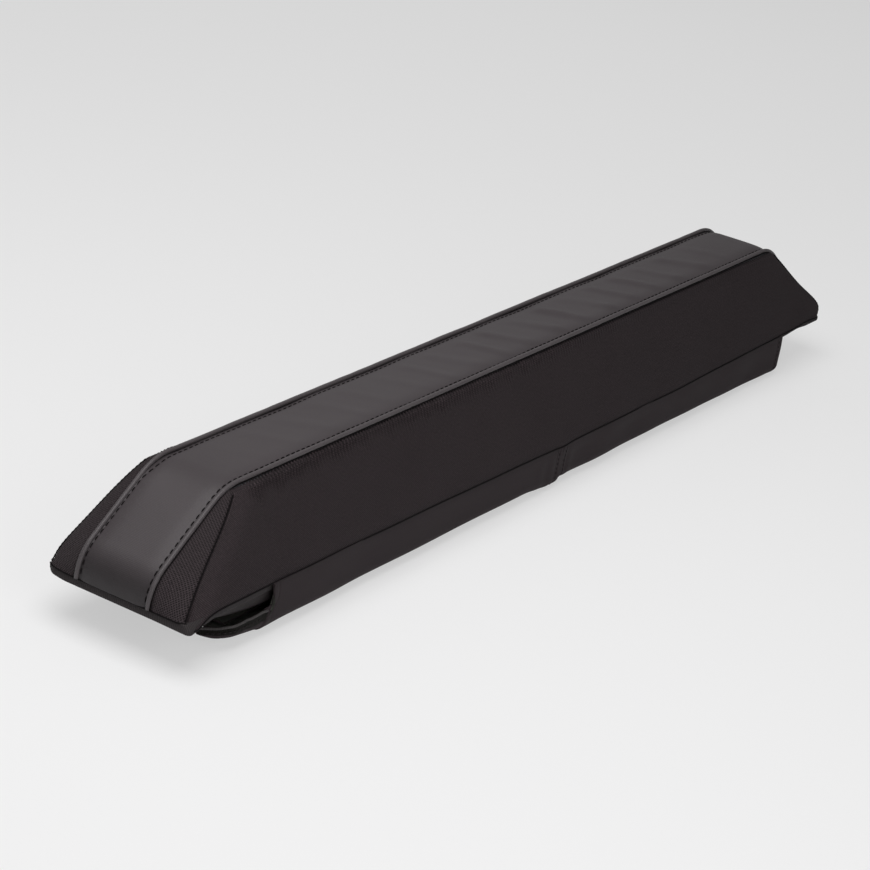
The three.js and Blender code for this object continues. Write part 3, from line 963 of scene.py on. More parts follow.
def sag(x):
    """How far the lower seam hangs below a straight line between the tips."""
    slack = np.clip((x - NEAR_SAG_START) / (SAG_MIDDLE - NEAR_SAG_START), 0, 1) ** 2
    near_part = NEAR_SAG * slack - 0.35 * fade(x, -372, -340)
    far_part = SEAM_SAG * (1 - 0.75 * fade(x, 150, 290)) * (1 - fade(x, 290, 345))
    sagging = np.where(x < SAG_MIDDLE, near_part, far_part)
    return sagging + SPLIT_SAG * hump(x, 17, 9) - FAR_TIP_LIFT * hump(x, 356, 14)


def corner_dip(x):
    """How far the foot of a panel is drawn down round the near corner."""
    return CORNER_DIP * hump(x, CORNER_DIP_X, CORNER_DIP_WIDTH)


def panel_surface(row_shares, half_shares):
    """The panel's plain surface on the back side, from tip to tip."""
    rows = []
    for share in row_shares:
        z = SEAM_Z + (PANEL_TOP_Z - SEAM_Z) * share
        half = side_row(z, half_shares)
        line = np.concatenate([half * (-1, 1), half[::-1][1:]])
        drop = sag(line[:, 0]) * (1 - share) ** SAG_FALL
        height = z - drop - corner_dip(line[:, 0]) * (1 - share) ** CORNER_DIP_FALL
        rows.append(np.column_stack([line, height]))
    return np.array(rows)


def woven_cloth(
    name, colour, pitch_mm, turn, depth, contrast, roughness=0.72, sharp=1.0, patch=0.1
):
    """Uncoated cloth: threads that can be made out, a matte face and a faint fuzz."""
    material, tree, shader = new_material(name, roughness, 0.08)
    fuzz(shader, 0.015, 0.6)
    place = cloth_place(tree)
    slub = add_node(tree, "ShaderNodeMapping")
    slub.inputs["Scale"].default_value = (0.12, 1.0, 1.0)
    tree.links.new(place, slub.inputs["Vector"])
    streaks = mottle(tree, slub.outputs["Vector"], 1.0, 2.0)
    threads = weave(tree, place, pitch_mm, turn, sharp)
    dye(tree, shader, colour, [
        spread(tree, mottle(tree, place, 55.0), 1 - patch, 1 + patch),
        spread(tree, streaks, 0.84, 1.16),
        spread(tree, mottle(tree, place, 1.3, 3.0), 0.55, 1.45),
        spread(tree, threads, 1 - contrast, 1 + contrast),
        # Painted shade and painted light from the third cloth number: half as bright where it is 1, lighter
        # where it is below 0.
        spread(tree, third_of(tree, place), 1.0, 0.5),
    ])
    tree.links.new(spread(tree, streaks, roughness - 0.05, roughness + 0.08), shader.inputs["Roughness"])
    bump(tree, shader, number(tree, "ADD", threads, number(tree, "MULTIPLY", streaks, 0.5)), depth)
    return material


def panel_relief(grid, depth_down):
    """The ribs under the welt with a slight unevenness, and the shade painted into each furrow and the
    highlight painted on each crest.
    """
    x = grid[..., 0]
    strength = (1 - fade(x, *RIB_FADE)) * (1 - RIB_LEAST) + RIB_LEAST
    strength = strength * fade(x, *RIB_NEAR_END) * (1 - fade(x, *RIB_FAR_END))
    strength = strength * np.clip(0.85 + 0.4 * wander(x, 0 * x, 22, 31), 0.2, 1.4)
    reach = RIB_REACH * (1 + 0.3 * wander(x, 0 * x, 16, 33) - 0.3 * fade(x, -280, 60))
    turns = math.pi * x / RIB_PITCH + 0.5 * wander(x, 0 * x, 30, 37)
    crests = 1 - 2 * np.abs(np.sin(turns)) ** RIB_SHARPNESS
    strength = strength * hump(depth_down, 0, reach)
    uneven = PANEL_UNEVEN * wander(x, grid[..., 2] * 1.6, 85, 35)
    relief = uneven * fade(depth_down, 0, 15) - RIB_HEIGHT * strength * crests
    return relief, np.where(crests > 0, FURROW_PAINTED_SHADE, CREST_PAINTED_LIGHT) * crests * strength


def panel_shares():
    """How far up the panel each row lies, and how far along its half each column lies."""
    rows = [[0, 0.008, 0.018, 0.035], np.linspace(0.06, 0.78, 16), np.linspace(0.81, 0.985, 13), [0.993, 1.0]]
    hip = np.linspace(0, PANEL_HIP_SHARE, PANEL_HIP_COLUMNS + 1)[:-1]
    rest = np.linspace(PANEL_HIP_SHARE, 1, PANEL_HALF_COLUMNS - PANEL_HIP_COLUMNS)
    return np.concatenate(rows), np.concatenate([hip, rest])


def panel_crown(row_shares, column_shares):
    """The panel's fullness, as the cloth settles on a coarse copy of it."""
    coarse = panel_surface(*(np.linspace(0, 1, count) for count in PANEL_COARSE))
    return finer_grid(settle(coarse[:, ::-1], PANEL_LIMIT)[:, ::-1], row_shares, column_shares)


def make_panels():
    rows, half = panel_shares()
    columns = np.concatenate([half / 2, 1 - half[::-1][1:] / 2])
    grid = panel_surface(rows, half)
    slant = math.hypot(BODY_HEIGHT, HALF_BASE - HALF_DECK) / BODY_HEIGHT
    height_up = rows[:, None] * (PANEL_TOP_Z - SEAM_Z) * slant + 0 * grid[..., 0]
    depth_down = (1 - rows)[:, None] * (PANEL_TOP_Z - SEAM_Z) * slant + 0 * grid[..., 0]
    to_hip = np.minimum(columns, 1 - columns) * 2 * hip_x(grid[..., 2])
    edge = np.minimum(np.minimum(depth_down, height_up), to_hip)
    relief, rib_shading = panel_relief(grid, depth_down)
    lift = panel_crown(rows, columns) + relief - SEAM_PINCH * hump(edge, 0, SEAM_PINCH_WIDTH)
    grid = grid - normals_of(grid) * lift[..., None]
    from_hip = hip_x(grid[..., 2]) - grid[..., 0]
    grid[..., 0] += fuller(grid[..., 2]) * hump(from_hip, 0, 28)
    # Painted light near the hips at the near end, and painted shade along every seam and in the rib furrows.
    hip_light = HIP_PAINTED_LIGHT * hump(to_hip, 8, 16) * (grid[..., 0] < 0)
    places = np.stack([grid[..., 0], height_up, np.exp(-edge / 0.8) + rib_shading - hip_light], -1)
    material = woven_cloth("panel_cloth", PANEL_COLOUR, 1.0, 45.0, 0.14, 0.42)
    for side, name in ((-1, "front"), (1, "back")):
        outer, node = grid * (1, side, 1), f"side_panel_{name}"
        panel = add_cloth(
            f"side_cloth_{name}", outer, PANEL_THICKNESS, places, material, [node]
        )
    return grid


panel_grid = make_panels()

# The end gussets: four long triangles of open grid-woven cloth between the nose and the side panels.
# Each is sewn to the welt along its upper edge and to a side panel along the hip.
GUSSET_ROWS = 90
GUSSET_COLUMNS = 22
GUSSET_PUFF = 0.7
GUSSET_UNEVEN = 0.12
GUSSET_FULL_WIDTH = 20
GUSSET_PINCH_WIDTH = 6
GUSSET_COLOUR = (0.0310, 0.0245, 0.0265)
HIP_THREAD_RADIUS = 0.42
HIP_THREAD_SWELL = 0.22
HIP_THREAD_PITCH = 2.8


def gusset_surface():
    """The gusset's plain surface at the far end of the back side, rising level by level."""
    shares = np.linspace(0, 1, GUSSET_COLUMNS)
    levels = np.linspace(SEAM_Z, PANEL_TOP_Z, GUSSET_ROWS)
    return np.array([np.column_stack([gusset_row(z, shares), np.full(GUSSET_COLUMNS, z)]) for z in levels])


def gusset_shape():
    """The gusset's outer face with its puff, and where each point lies on its cloth."""
    grid = gusset_surface()
    shares = np.linspace(0, 1, GUSSET_COLUMNS)[None, :]
    width = np.linalg.norm(grid[:, -1] - grid[:, 0], axis=1)[:, None]
    rise = np.linspace(0, 1, GUSSET_ROWS)[:, None]
    full = 4 * shares * (1 - shares) * np.minimum(width / GUSSET_FULL_WIDTH, 1)
    edge = np.minimum(shares * width - WELT_RADIUS, (1 - shares) * width)
    pinch = SEAM_PINCH * hump(edge, 0, SEAM_PINCH_WIDTH) * np.minimum(width / GUSSET_PINCH_WIDTH, 1)
    uneven = GUSSET_UNEVEN * wander(grid[..., 2], grid[..., 1], 16, 41) * full
    puff = GUSSET_PUFF * full * fade(rise, 0, 0.12) + uneven - pinch
    # Painted shade along the gusset's seams.
    painted_shade = np.exp(-np.maximum(edge, 0) / 0.7)
    places = np.stack([lengths(grid[:, 0])[:, None] + 0 * painted_shade, grid[..., 1], painted_shade], -1)
    return grid + normals_of(grid) * puff[..., None], places


def hip_line():
    """The seam between the gusset and the side panel, at the far end of the back side."""
    heights = np.linspace(SEAM_Z + 0.6, PANEL_TOP_Z - 1.6, 160)
    return np.array([(*side_row(z, np.zeros(1))[0], z) for z in heights])


def make_gussets():
    outer, places = gusset_shape()
    across = np.linspace(0, 1, GUSSET_COLUMNS)[None, :]
    material = woven_cloth(
        "gusset_cloth", GUSSET_COLOUR, 1.15, 38.0, 0.25, 0.6, roughness=0.6, sharp=2.5, patch=0.06
    )
    for end, end_name in ((-1, "left"), (1, "right")):
        shape, line = outer.copy(), hip_line()
        if end > 0:
            shape[..., 0] += fuller(shape[..., 2]) * fade(across, 0, 1)
            line[:, 0] += fuller(line[:, 2])
        swell = HIP_THREAD_SWELL * np.sin(2 * math.pi * lengths(line) / HIP_THREAD_PITCH)
        radii = HIP_THREAD_RADIUS * (1 + swell)
        for side, side_name in ((-1, "front"), (1, "back")):
            mirror = np.array([end, side, 1])
            name, node = f"{end_name}_{side_name}", f"end_gusset_{side_name}_{end_name}"
            gusset = add_cloth(
                f"gusset_{name}", shape * mirror, PANEL_THICKNESS, places, material, [node]
            )
            add_tube(f"hip_seam_{name}", line * mirror, radii, 8, (0, 1, 0), seam_thread_and_shade)


make_gussets()

# The base tape: ribbed woven tape bound round the whole edge of the base, under the lower seam.
# It shows across both tips and round the corners, and as a thin edge beside the flaps.
TAPE_HALF_LENGTH = HALF_LENGTH - 0.4
TAPE_HALF_WIDTH = 47.5
TAPE_HEIGHT = 4.1
TAPE_DEPTH = 1.3
TAPE_STEP = 0.34
TAPE_SIDES = 14
TAPE_DROP = 0.9
TAPE_DROP_SPAN = (-200, 300)
TAPE_FAR_RISE = 1.2
TAPE_FAR_SPAN = (325, 350)
TAPE_RIB_PITCH = 1.25
TAPE_RIB_HEIGHT = 0.09
TAPE_END_SWELL = 1.2
TAPE_CORNER_FOLD = 4.0
TAPE_CORNERS = (4.0, 7.5, 8.0, 3.0)
TAPE_COLOUR = (0.036, 0.0315, 0.0325)
LOWER_SEAM_RADIUS = 0.5
LOWER_SEAM_DROP = 0.25


def rounded_rectangle(half_x, half_y, radii, step):
    """A closed level path with rounded corners, and its outward directions."""
    front, back = -half_y, half_y
    corners = [(0, front), (half_x, front), (half_x, back), (-half_x, back), (-half_x, front), (0, front)]
    path = rounded(corners, radii, 24)
    total = lengths(path)[-1]
    count = int(total / step)
    path = resampled(path, np.arange(count) * total / count)
    heading = unit(np.roll(path, -1, 0) - np.roll(path, 1, 0))
    return path, np.stack([heading[:, 1], -heading[:, 0]], 1)


def ribbed_tape_material(name, colour, pitch):
    """Narrow woven tape: close ribs across it, with pale crowns and dark valleys."""
    material, tree, shader = new_material(name, 0.7, 0.1)
    fuzz(shader, 0.01, 0.5)
    place = cloth_place(tree)
    ribs = stripes(tree, place, "X", pitch)
    grain = mottle(tree, place, 0.8, 2.0)
    dye(tree, shader, colour, [
        spread(tree, ribs, 0.72, 1.2),
        spread(tree, grain, 0.8, 1.2),
        spread(tree, mottle(tree, place, 30.0), 0.85, 1.15),
    ])
    bump(tree, shader, number(tree, "ADD", ribs, grain), 0.12)
    return material


def rounded_wave(values, power):
    return np.sign(values) * np.abs(values) ** power


def make_base_tape():
    path, outward = rounded_rectangle(TAPE_HALF_LENGTH, TAPE_HALF_WIDTH, TAPE_CORNERS, TAPE_STEP)
    to_end, to_side = np.abs(path).T
    path[:, 1] += np.sign(path[:, 1]) * TAPE_END_SWELL * fade(to_end, 347, 360) * fade(to_side, 20, 40)
    to_end, to_side = np.abs(path).T
    along = np.arange(len(path)) * TAPE_STEP
    turns = np.linspace(0, 2 * math.pi, TAPE_SIDES, endpoint=False)
    out = rounded_wave(np.cos(turns), 0.5) * TAPE_DEPTH / 2
    up = rounded_wave(np.sin(turns), 0.6) * TAPE_HEIGHT / 2
    rib = TAPE_RIB_HEIGHT * np.cos(2 * math.pi * along / TAPE_RIB_PITCH)
    fold = TAPE_CORNER_FOLD * fade(to_end, 366, 374) * fade(to_side, 40, 43)
    reach = out - TAPE_DEPTH / 2 + rib[:, None] * (out > 0) - fold[:, None] * (out < 0)
    level = path[:, None] + outward[:, None] * reach[..., None]
    foot = TAPE_FAR_RISE * fade(path[:, 0], *TAPE_FAR_SPAN) - TAPE_DROP * fade(-path[:, 0], *TAPE_DROP_SPAN)
    height = TAPE_HEIGHT / 2 + up + foot[:, None] * (up < 0)
    points = np.concatenate([level, height[..., None]], -1).reshape(-1, 3)
    at = np.arange(len(points)).reshape(-1, TAPE_SIDES)
    ahead = np.roll(at, -1, 0)
    faces = np.stack([at, ahead, np.roll(ahead, -1, 1), np.roll(at, -1, 1)], -1).reshape(-1, 4)
    places = np.stack(np.broadcast_arrays(along[:, None], up, 0.0 * along[:, None]), -1).reshape(-1, 3)
    material = ribbed_tape_material("base_tape_weave", TAPE_COLOUR, TAPE_RIB_PITCH)
    add_closed_piece("base_tape", points, faces, material, ["base_binding"], places)


def make_lower_seam():
    """The dark line where the panels and the strip meet the base, all the way round."""
    gusset_foot = gusset_row(SEAM_Z, np.linspace(1, 0, 14))
    far_tip = np.concatenate([gusset_foot, gusset_foot[::-1] * (1, -1)])
    far_tip = np.column_stack([far_tip, np.full(len(far_tip), SEAM_Z)])
    back_edge = panel_grid[0]
    front_edge = (back_edge * (1, -1, 1))[::-1][1:-1]
    ring = np.concatenate([back_edge[:-1], far_tip, front_edge, far_tip[::-1] * (-1, 1, 1)])
    keep = np.linalg.norm(ring - np.roll(ring, 1, 0), axis=1) > 0.05
    ring = ring[keep] - (0, 0, LOWER_SEAM_DROP)
    add_tube("lower_seam", ring, LOWER_SEAM_RADIUS, 8, (0, 0, 1), seam_thread_and_shade, closed=True)


make_base_tape()
make_lower_seam()

# The side lips: a soft rubbery rib under each long edge of the base, tapering away towards the tips.
# The two ribs hold the pad square on the crossbar; the front one shows through the flap's window.
LIP_OUTER = 46.0
LIP_INNER = 40.5
LIP_TOP_Z = 4.0
LIP_HEIGHT = 12.8
LIP_LEAST = 0.5
LIP_NEAR_RAMP = (-20, 76)
LIP_FAR_RAMP = (50, 125)
LIP_HALF_LENGTH = 378.0
LIP_COLUMNS = 240
LIP_WAVE = 0.5
LIP_SHADE_DEPTH = 0.011
LIP_SHADE_START = 0.72
LIP_COLOUR = (0.035, 0.0282, 0.0296)


def lip_material():
    """Smooth dark rubber, with shade painted in that deepens the lower it lies behind the flap."""
    material, tree, shader = new_material("lip_rubber", 0.6, 0.2)
    place = object_place(tree)
    grain = mottle(tree, place, 0.0015, 3.0)
    depth = number(tree, "MULTIPLY", third_of(tree, place), 1 / LIP_SHADE_DEPTH)
    dye(tree, shader, LIP_COLOUR, [
        spread(tree, grain, 0.9, 1.1),
        spread(tree, mottle(tree, place, 0.03), 0.82, 1.18),
        # Painted shade: darker the further below the lip's top.
        spread(tree, number(tree, "ADD", depth, LIP_SHADE_START), 0.35, 1.1),
    ])
    bump(tree, shader, grain, 0.08)
    return material


def make_lips():
    material = lip_material()
    x = np.linspace(-LIP_HALF_LENGTH, LIP_HALF_LENGTH, LIP_COLUMNS)
    grown = fade(LIP_HALF_LENGTH + x, *LIP_NEAR_RAMP) * fade(LIP_HALF_LENGTH - x, *LIP_FAR_RAMP)
    depth = LIP_LEAST + LIP_HEIGHT * grown
    half, middle = (LIP_OUTER - LIP_INNER) / 2, (LIP_OUTER + LIP_INNER) / 2
    turns = np.linspace(math.pi, 2 * math.pi, 13)[::-1]
    across = np.concatenate([[1, 1, 1], np.cos(turns), [-1, -1, -1]]) * half
    curl = np.concatenate([[0, 0, 0], np.sin(turns) * half, [0, 0, 0]])
    share = np.concatenate([[0, 0.4, 0.8], np.ones(13), [0.8, 0.4, 0]])
    straight = np.maximum(depth - half, 0.05)[:, None]
    z = LIP_TOP_Z - straight * share + curl * np.minimum(depth / half, 1)[:, None]
    at = np.arange(z.size).reshape(z.shape)
    turned = np.roll(at, -1, 1)
    faces = np.stack([at[:-1], turned[:-1], turned[1:], at[1:]], -1).reshape(-1, 4).tolist()
    faces += [at[0][::-1].tolist(), at[-1].tolist()]
    for side, name in ((-1, "front"), (1, "back")):
        y = middle + across + LIP_WAVE * wander(x, 0 * x, 50, 51 + side)[:, None] * share
        points = np.stack([np.broadcast_to(x[:, None], z.shape), side * y, z], -1).reshape(-1, 3)
        add_closed_piece(f"side_lip_cover_{name}", points, faces, material, [f"side_lip_{name}"])


make_lips()

# The flaps: smooth cloth sewn into the lower seam, which goes down past the bar and under it.
# Each side has a left and a right one with a narrow split between; the ends are hemmed and stitched.
FLAP_TOP_Z = 4.0
FLAP_FACE = 49.2
FLAP_BEND = 7.0
FLAP_OVERLAP = 34.0
FLAP_THICKNESS = 1.3
FRONT_FLOOR_Z = -24.2
BACK_FLOOR_Z = -20.5
FLAP_SPLIT = (16.3, 16.9)
FLAP_RIGHT_END = 320.0
FRONT_LEFT_END = -346.3
BACK_LEFT_END = -320.0
FLAP_WALL = (26, 40)
FLAP_SAG_REACH = (0, 24)
FLAP_WAVE = 0.55
FLAP_UNDER_WAVE = 0.35
SPLIT_PUFF = 0.5
CORNER_DROOP = 2.4
DROOP_SPAN = (-24, 12)
RIGHT_LIFT = -0.3
RIGHT_FAR_DROP = 1.3
RIGHT_FAR_SPAN = (180, 300)
HEM_WIDTH = 5.5
HEM_RAISE = 0.22
HEM_STITCH_IN = 1.4
HEM_GROOVE = 0.35
HEM_GROOVE_WIDTH = 0.5
HEM_STITCH_PITCH = 3.2
HEM_STITCH_LENGTH = 2.2
HEM_STITCH_RISE = 0.12
WINDOW_END = -300.0
WINDOW_DROP = 15.8
WINDOW_ROUND = 6.0
WINDOW_LENGTH = 45.0
WINDOW_BOW = 2.4
WINDOW_SLANT = 5.0
WINDOW_LIFT = 0.9
WINDOW_GROOVE = 0.3
WINDOW_GROOVE_IN = 4.5
WINDOW_FOLD = 0.4
WINDOW_FADE = (30, 40)
CUT_BACK = 22.0
END_RISE = 2.9
NEAR_RISE = 1.0
NEAR_DIP = 0.3
CURL_START = -326.0
CURL_LENGTH = 19.0
CURL_IN = 13.0
CURL_DROP = 2.2
CURL_LIFT = 1.2
FLAP_COLOUR = (0.0270, 0.0205, 0.0225)
LINING_COLOUR = (0.060, 0.062, 0.054)
HEM_THREAD_COLOUR = (0.017, 0.0138, 0.0146)


def flap_path(floor_z):
    return rounded([(FLAP_FACE, FLAP_TOP_Z), (FLAP_FACE, floor_z), (-FLAP_OVERLAP, floor_z)], [FLAP_BEND], 12)


FLAPS = {
    "front_left": dict(side=-1, floor=FRONT_FLOOR_Z, ends=(FRONT_LEFT_END, FLAP_SPLIT[0]), seed=61),
    "front_right": dict(side=-1, floor=FRONT_FLOOR_Z, ends=(FLAP_SPLIT[1], FLAP_RIGHT_END), seed=63),
    "back_left": dict(side=1, floor=BACK_FLOOR_Z, ends=(BACK_LEFT_END, FLAP_SPLIT[0]), seed=65),
    "back_right": dict(side=1, floor=BACK_FLOOR_Z, ends=(FLAP_SPLIT[1], FLAP_RIGHT_END), seed=67),
}
for flap_name, flap in FLAPS.items():
    flap["path"] = flap_path(flap["floor"])
    flap["right"] = flap_name.endswith("right")
    flap["curled"] = flap_name == "front_left"


def right_lift(x):
    """How much higher the right flaps are drawn than the left ones; they hang lower towards the end."""
    return RIGHT_LIFT - RIGHT_FAR_DROP * fade(x, *RIGHT_FAR_SPAN)


def loose_end(x, y, z, w):
    """The near end of the front left flap, which hangs loose under the window and curls inwards."""
    from_end = np.maximum(1 - (x - FRONT_LEFT_END) / WINDOW_LENGTH, 0)
    rise = NEAR_RISE * fade(-x, 225, 270) * (1 - 0.5 * fade(-x, 285, 305))
    rise = rise + END_RISE * fade(-x, 305, 342) - NEAR_DIP * hump(x, -299, 14)
    z = z + rise * fade(w, 16, 28) * (1 - fade(w, 34, 50))
    x = x + CUT_BACK * fade(w, 20, 42) * from_end
    bow = np.sin(math.pi * np.clip(w / WINDOW_DROP, 0, 1))
    x = x + WINDOW_BOW * bow * hump(x, -298, 8)
    share = np.clip((CURL_START - x) / CURL_LENGTH, 0, 1.2)
    y = y - CURL_IN * share ** 2.6 * (1 - 0.85 * fade(w, 34, 70))
    z = z - CURL_DROP * share ** 2 * (1 - fade(w, 14, 30)) + CURL_LIFT * share ** 2 * fade(w, 26, 34)
    return np.stack([x, y, z], -1)


def flap_point(x, w, flap):
    """A point of a flap's outer face, x along the pad and w down from the seam, on the back side."""
    path = flap["path"]
    x, w = np.broadcast_arrays(np.asarray(x, float), np.asarray(w, float))
    y, z = (np.interp(w, lengths(path), path[:, axis]) for axis in (0, 1))
    z = z - sag(x) * (1 - fade(w, *FLAP_SAG_REACH))
    if flap["right"]:
        z = z + right_lift(x) * fade(w, 4, 24)
        near_split = hump(x, 27, 4.0)
    else:
        z = z - CORNER_DROOP * fade(x, *DROOP_SPAN) * fade(w, 6, 24)
        near_split = hump(x, 5, 4.5) + 0.6 * hump(x, -8, 5.0)
    wall = 1 - fade(w, *FLAP_WALL)
    y = y + SPLIT_PUFF * near_split * fade(w, 1, 14) * wall
    y = y + FLAP_WAVE * wander(x, w, 75, flap["seed"]) * fade(w, 0, 12) * wall
    z = z + FLAP_UNDER_WAVE * wander(x, w, 60, flap["seed"] + 1) * (1 - wall)
    return loose_end(x, y, z, w) if flap["curled"] else np.stack([x, y, z], -1)


def flap_normal(x, w, flap):
    along = flap_point(np.add(x, 0.4), w, flap) - flap_point(np.subtract(x, 0.4), w, flap)
    down = flap_point(x, np.add(w, 0.4), flap) - flap_point(x, np.maximum(np.subtract(w, 0.4), 0), flap)
    return unit(np.cross(along, down))


def window_top(x, flap):
    """Where the cloth starts below the seam: at the seam, or at the window's lower edge."""
    if not flap["curled"]:
        return 0.0 * x
    inside = np.clip((x - (WINDOW_END - WINDOW_ROUND)) / WINDOW_ROUND, 0, 1)
    rounding = WINDOW_ROUND * (1 - np.sqrt(np.maximum(1 - inside ** 2, 0)))
    return np.where(x < WINDOW_END - 0.01, WINDOW_DROP - rounding, 0.0)


def window_lift(x, w):
    """The folded edge beside the window with its groove, and the puckers under the window."""
    edge = WINDOW_END - WINDOW_SLANT * (w / 28) ** 2
    above = 1 - fade(w, *WINDOW_FADE)
    lift = WINDOW_LIFT * fade(x, edge - 0.5, edge + 0.5) * above * (1 - fade(x, -270, -200))
    lift = lift - WINDOW_GROOVE * hump(x, edge + WINDOW_GROOVE_IN, HEM_GROOVE_WIDTH) * above
    folds = hump(x, -315, 14) * hump(w, 21, 4.5)
    return lift + WINDOW_FOLD * folds * wander(x * 0.7, w * 1.5, 11, 77)


def flap_lift(x, w, flap):
    """Hems, their stitch lines, and the window's edge."""
    from_ends = np.minimum(x - flap["ends"][0], flap["ends"][1] - x)
    hem = HEM_RAISE * (1 - fade(from_ends, HEM_WIDTH - 0.3, HEM_WIDTH + 0.5))
    groove = HEM_GROOVE * hump(from_ends, HEM_WIDTH - HEM_STITCH_IN, HEM_GROOVE_WIDTH)
    if not flap["curled"]:
        return hem - groove
    return hem * fade(x, -320, -310) - groove + window_lift(x, w)


def flap_columns(flap):
    """Places along the pad for the columns of a flap, closer at its ends and over the window."""
    start, end = flap["ends"]
    near_hem, far_hem = np.arange(start, start + 8, 0.7), np.arange(end - 8, end + 0.01, 0.7)
    parts = [np.arange(start, end, 2.4), near_hem, far_hem, [end]]
    if flap["curled"]:
        parts += [np.arange(FRONT_LEFT_END, -290, 0.8), [WINDOW_END - 0.06, WINDOW_END]]
    return np.unique(np.round(np.concatenate(parts), 3))


def line_flap(piece, lining, count):
    """Gives the inner face of a flap its pale lining."""
    piece.data.materials.append(lining)
    inner = np.zeros(len(piece.data.polygons), np.int32)
    inner[count:2 * count] = 1
    piece.data.polygons.foreach_set("material_index", inner)


def hem_stitches(name, x, w, flap, raised=0.0):
    normal = flap_normal(x, w, flap)
    lift = flap_lift(x, w, flap) + HEM_STITCH_RISE + raised
    mirror = (1, flap["side"], 1)
    line = (flap_point(x, w, flap) + normal * lift[..., None]) * mirror
    return add_stitches(
        name, line, normal * mirror, hem_thread, HEM_STITCH_PITCH, HEM_STITCH_LENGTH
    )


def flap_hems(name, flap, total):
    """Both rows of hem stitches down a flap, or one where the near end is loose."""
    start, end = flap["ends"]
    down = np.arange(1.5, total - 6, 0.8)
    inset = HEM_WIDTH - HEM_STITCH_IN
    places = {"right": end - inset} if flap["curled"] else {"left": start + inset, "right": end - inset}
    return [
        hem_stitches(f"{name}_hem_{hand}", np.full_like(down, x), down, flap)
        for hand, x in places.items()
    ]


def make_flap(name, flap, material, lining):
    start, end = flap["ends"]
    total = lengths(flap["path"])[-1]
    columns = flap_columns(flap)
    shares = [np.linspace(0, 0.06, 4)[:-1], np.linspace(0.06, 0.36, 34)[:-1], np.linspace(0.36, 1, 22)]
    top = window_top(columns, flap)
    w = top + (total - top) * np.concatenate(shares)[:, None]
    x = np.broadcast_to(columns, w.shape)
    face = flap_point(x, w, flap) + flap_normal(x, w, flap) * flap_lift(x, w, flap)[..., None]
    from_edge = np.minimum(np.minimum(x - start, end - x), np.minimum(w - top, total - w))
    # Painted shade just under the lower seam, a painted highlight along the bottom bend, and lighter along
    # the cut edges.
    painted_light_and_edge_tint = 0.8 * np.exp(-w / 1.2) - 0.55 * hump(w, 25, 2.5) - 0.35 * np.exp(-from_edge / 0.8)
    position, hand = name.split("_")
    outer = face * (1, flap["side"], 1)
    places, node = np.stack([x, w, painted_light_and_edge_tint], -1), f"{position}_flap_{hand}"
    piece = add_cloth(f"flap_{name}", outer, FLAP_THICKNESS, places, material, [node])
    line_flap(piece, lining, (w.shape[0] - 1) * (w.shape[1] - 1))
    lines = flap_hems(f"flap_{name}", flap, total)


def make_flaps():
    material = coated_cloth("flap_cloth", FLAP_COLOUR, 0.65, 0.8, 0.45, 0.05, 0.08)
    lining = coated_cloth("flap_lining", LINING_COLOUR, 0.7, 0.9, 0.2, 0.05, 0.1)
    for name, flap in FLAPS.items():
        make_flap(name, flap, material, lining)


hem_thread = thread_material("hem_thread", HEM_THREAD_COLOUR)
make_flaps()

# The window hem: folded tape bound over the lower edge of the window in the front left flap.
# It turns inwards with the loose near end of the cloth, and one row of stitches holds it.
HEM_TAPE_START = -345.9
HEM_TAPE_END = -301.6
HEM_TAPE_STEP = 0.35
HEM_TAPE_COLOUR = (0.0050, 0.0044, 0.0032)
HEM_FACE = 0.9
HEM_DROP = 5.6
HEM_WAVE = 0.35
HEM_BACK = -FLAP_THICKNESS
HEM_TURN = (
    (HEM_DROP, 0.1), (HEM_DROP, 0.45), (HEM_DROP * 0.6, 0.55), (1.6, 0.55), (0.5, 0.6),
    (-0.35, 0.35), (-0.6, -0.3), (-0.6, HEM_BACK), (-0.1, HEM_BACK - 0.7), (1.2, HEM_BACK - HEM_FACE),
    (HEM_DROP * 0.6, HEM_BACK - HEM_FACE), (HEM_DROP, HEM_BACK - 0.8), (HEM_DROP, HEM_BACK - 0.15),
    (0.2, HEM_BACK - 0.15), (0.2, 0.15),
)
PIPING_COLOUR = (0.062, 0.0570, 0.0575)
PIPING_RADIUS = 0.75
PIPING_STEP = 0.8
HEM_STITCH_DROP = 3.0
HEM_STITCH_OUT = 0.55


def hem_wave(x):
    return HEM_WAVE * wander(x, 0 * x, 9, 81)


def make_hem_tape(flap):
    x = np.arange(HEM_TAPE_START, HEM_TAPE_END, HEM_TAPE_STEP)
    wave = hem_wave(x)
    rows = []
    for down, out in HEM_TURN:
        w = WINDOW_DROP + down + wave * 0.6
        lift = out + wave * 0.3 * np.sign(out)
        rows.append(flap_point(x, w, flap) + flap_normal(x, w, flap) * lift[:, None])
    points = np.array(rows) * (1, -1, 1)
    at = np.arange(len(rows) * len(x)).reshape(len(rows), len(x))
    ahead = np.roll(at, -1, 0)
    faces = np.stack([at[:, :-1], at[:, 1:], ahead[:, 1:], ahead[:, :-1]], -1).reshape(-1, 4).tolist()
    faces += [at[:, 0].tolist(), at[::-1, -1].tolist()]
    down = np.array(HEM_TURN)[:, :1]
    places = np.stack(np.broadcast_arrays(x, down, 0.0 * down), -1).reshape(-1, 3)
    material = ribbed_tape_material("window_hem_weave", HEM_TAPE_COLOUR, 0.8)
    nodes = ["window_binding"]
    add_closed_piece("window_hem", points.reshape(-1, 3), faces, material, nodes, places)


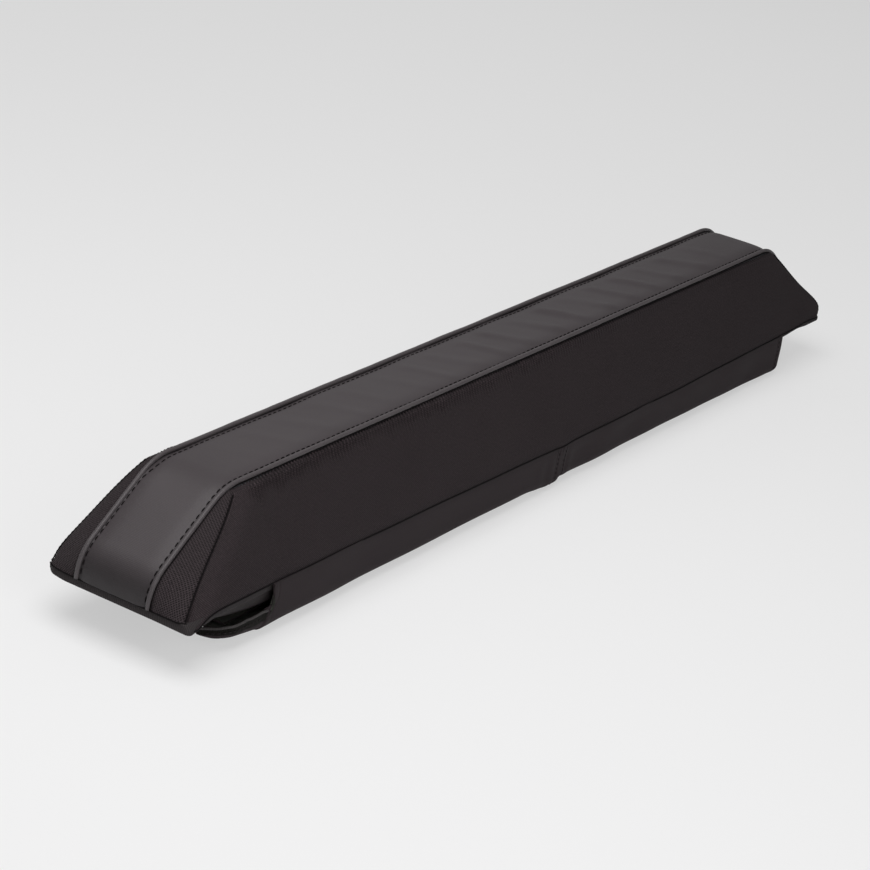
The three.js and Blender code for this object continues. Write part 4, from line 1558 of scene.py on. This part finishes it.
def make_piping(flap):
    x = np.arange(HEM_TAPE_START, HEM_TAPE_END, PIPING_STEP)
    line = flap_point(x, WINDOW_DROP - 0.3 + hem_wave(x) * 0.6, flap)
    line = line + flap_normal(x, np.full_like(x, WINDOW_DROP), flap) * 0.35
    material = ribbed_tape_material("window_piping_weave", PIPING_COLOUR, 0.8)
    add_tube("window_piping", line * (1, -1, 1), PIPING_RADIUS, 12, (0, 0, 1), material)


def make_window_hem():
    flap = FLAPS["front_left"]
    make_hem_tape(flap)
    make_piping(flap)
    x = np.arange(HEM_TAPE_START + 1, HEM_TAPE_END - 1, 0.8)
    down = np.full_like(x, WINDOW_DROP + HEM_STITCH_DROP)
    hem_stitches("window_hem_stitches", x, down, flap, HEM_STITCH_OUT)


make_window_hem()

# The closure: hook tape on the front flaps and loop tape on the back ones, where they overlap.
# Pressed together under the bar they close the sleeve; both are matte black pile.
CLOSURE_HALF_WIDTH = 26.0
CLOSURE_ROWS = 130
CLOSURE_COLUMNS = 24
CLOSURE_UNEVEN = 0.05
CLOSURE_COLOUR = (0.012, 0.012, 0.012)
CLOSURE_SPANS = {"left": (-314.0, 10.0), "right": (24.0, 314.0)}
CLOSURES = {
    "hook_tape": dict(levels=(-22.5, -21.8), pile_mm=1.4),
    "loop_tape": dict(levels=(-21.5, -20.8), pile_mm=0.8),
}


def pile_material(name, size_mm):
    material, tree, shader = new_material(name, 0.9, 0.2)
    place = cloth_place(tree)
    pile = cells(tree, place, 1 / size_mm)
    patches = mottle(tree, place, 25.0)
    dye(tree, shader, CLOSURE_COLOUR, [spread(tree, pile, 1.5, 0.5), spread(tree, patches, 0.8, 1.2)])
    bump(tree, shader, pile, 0.4)
    return material


def make_closure(kind, hand, levels, material):
    start, end = CLOSURE_SPANS[hand]
    along = np.linspace(start, end, CLOSURE_ROWS)
    across = np.linspace(-CLOSURE_HALF_WIDTH, CLOSURE_HALF_WIDTH, CLOSURE_COLUMNS)
    x, y = np.meshgrid(along, across, indexing="ij")
    lift = (right_lift(x) if hand == "right" else 0.0) + CLOSURE_UNEVEN * wander(x, y, 8, 91)
    low, high = (np.stack([x, y, level + lift], -1) for level in levels)
    points, faces = closed_slab(low, high)
    spots = np.stack([x, y, 0 * x], -1).reshape(-1, 3)
    places, name = np.concatenate([spots, spots]), f"{kind}_{hand}"
    tape = add_closed_piece(f"{name}_pile", points, faces, material, [name], places)


def make_closures():
    for kind, closure in CLOSURES.items():
        material = pile_material(f"{kind}_pile", closure["pile_mm"])
        for hand in CLOSURE_SPANS:
            make_closure(kind, hand, closure["levels"], material)


make_closures()
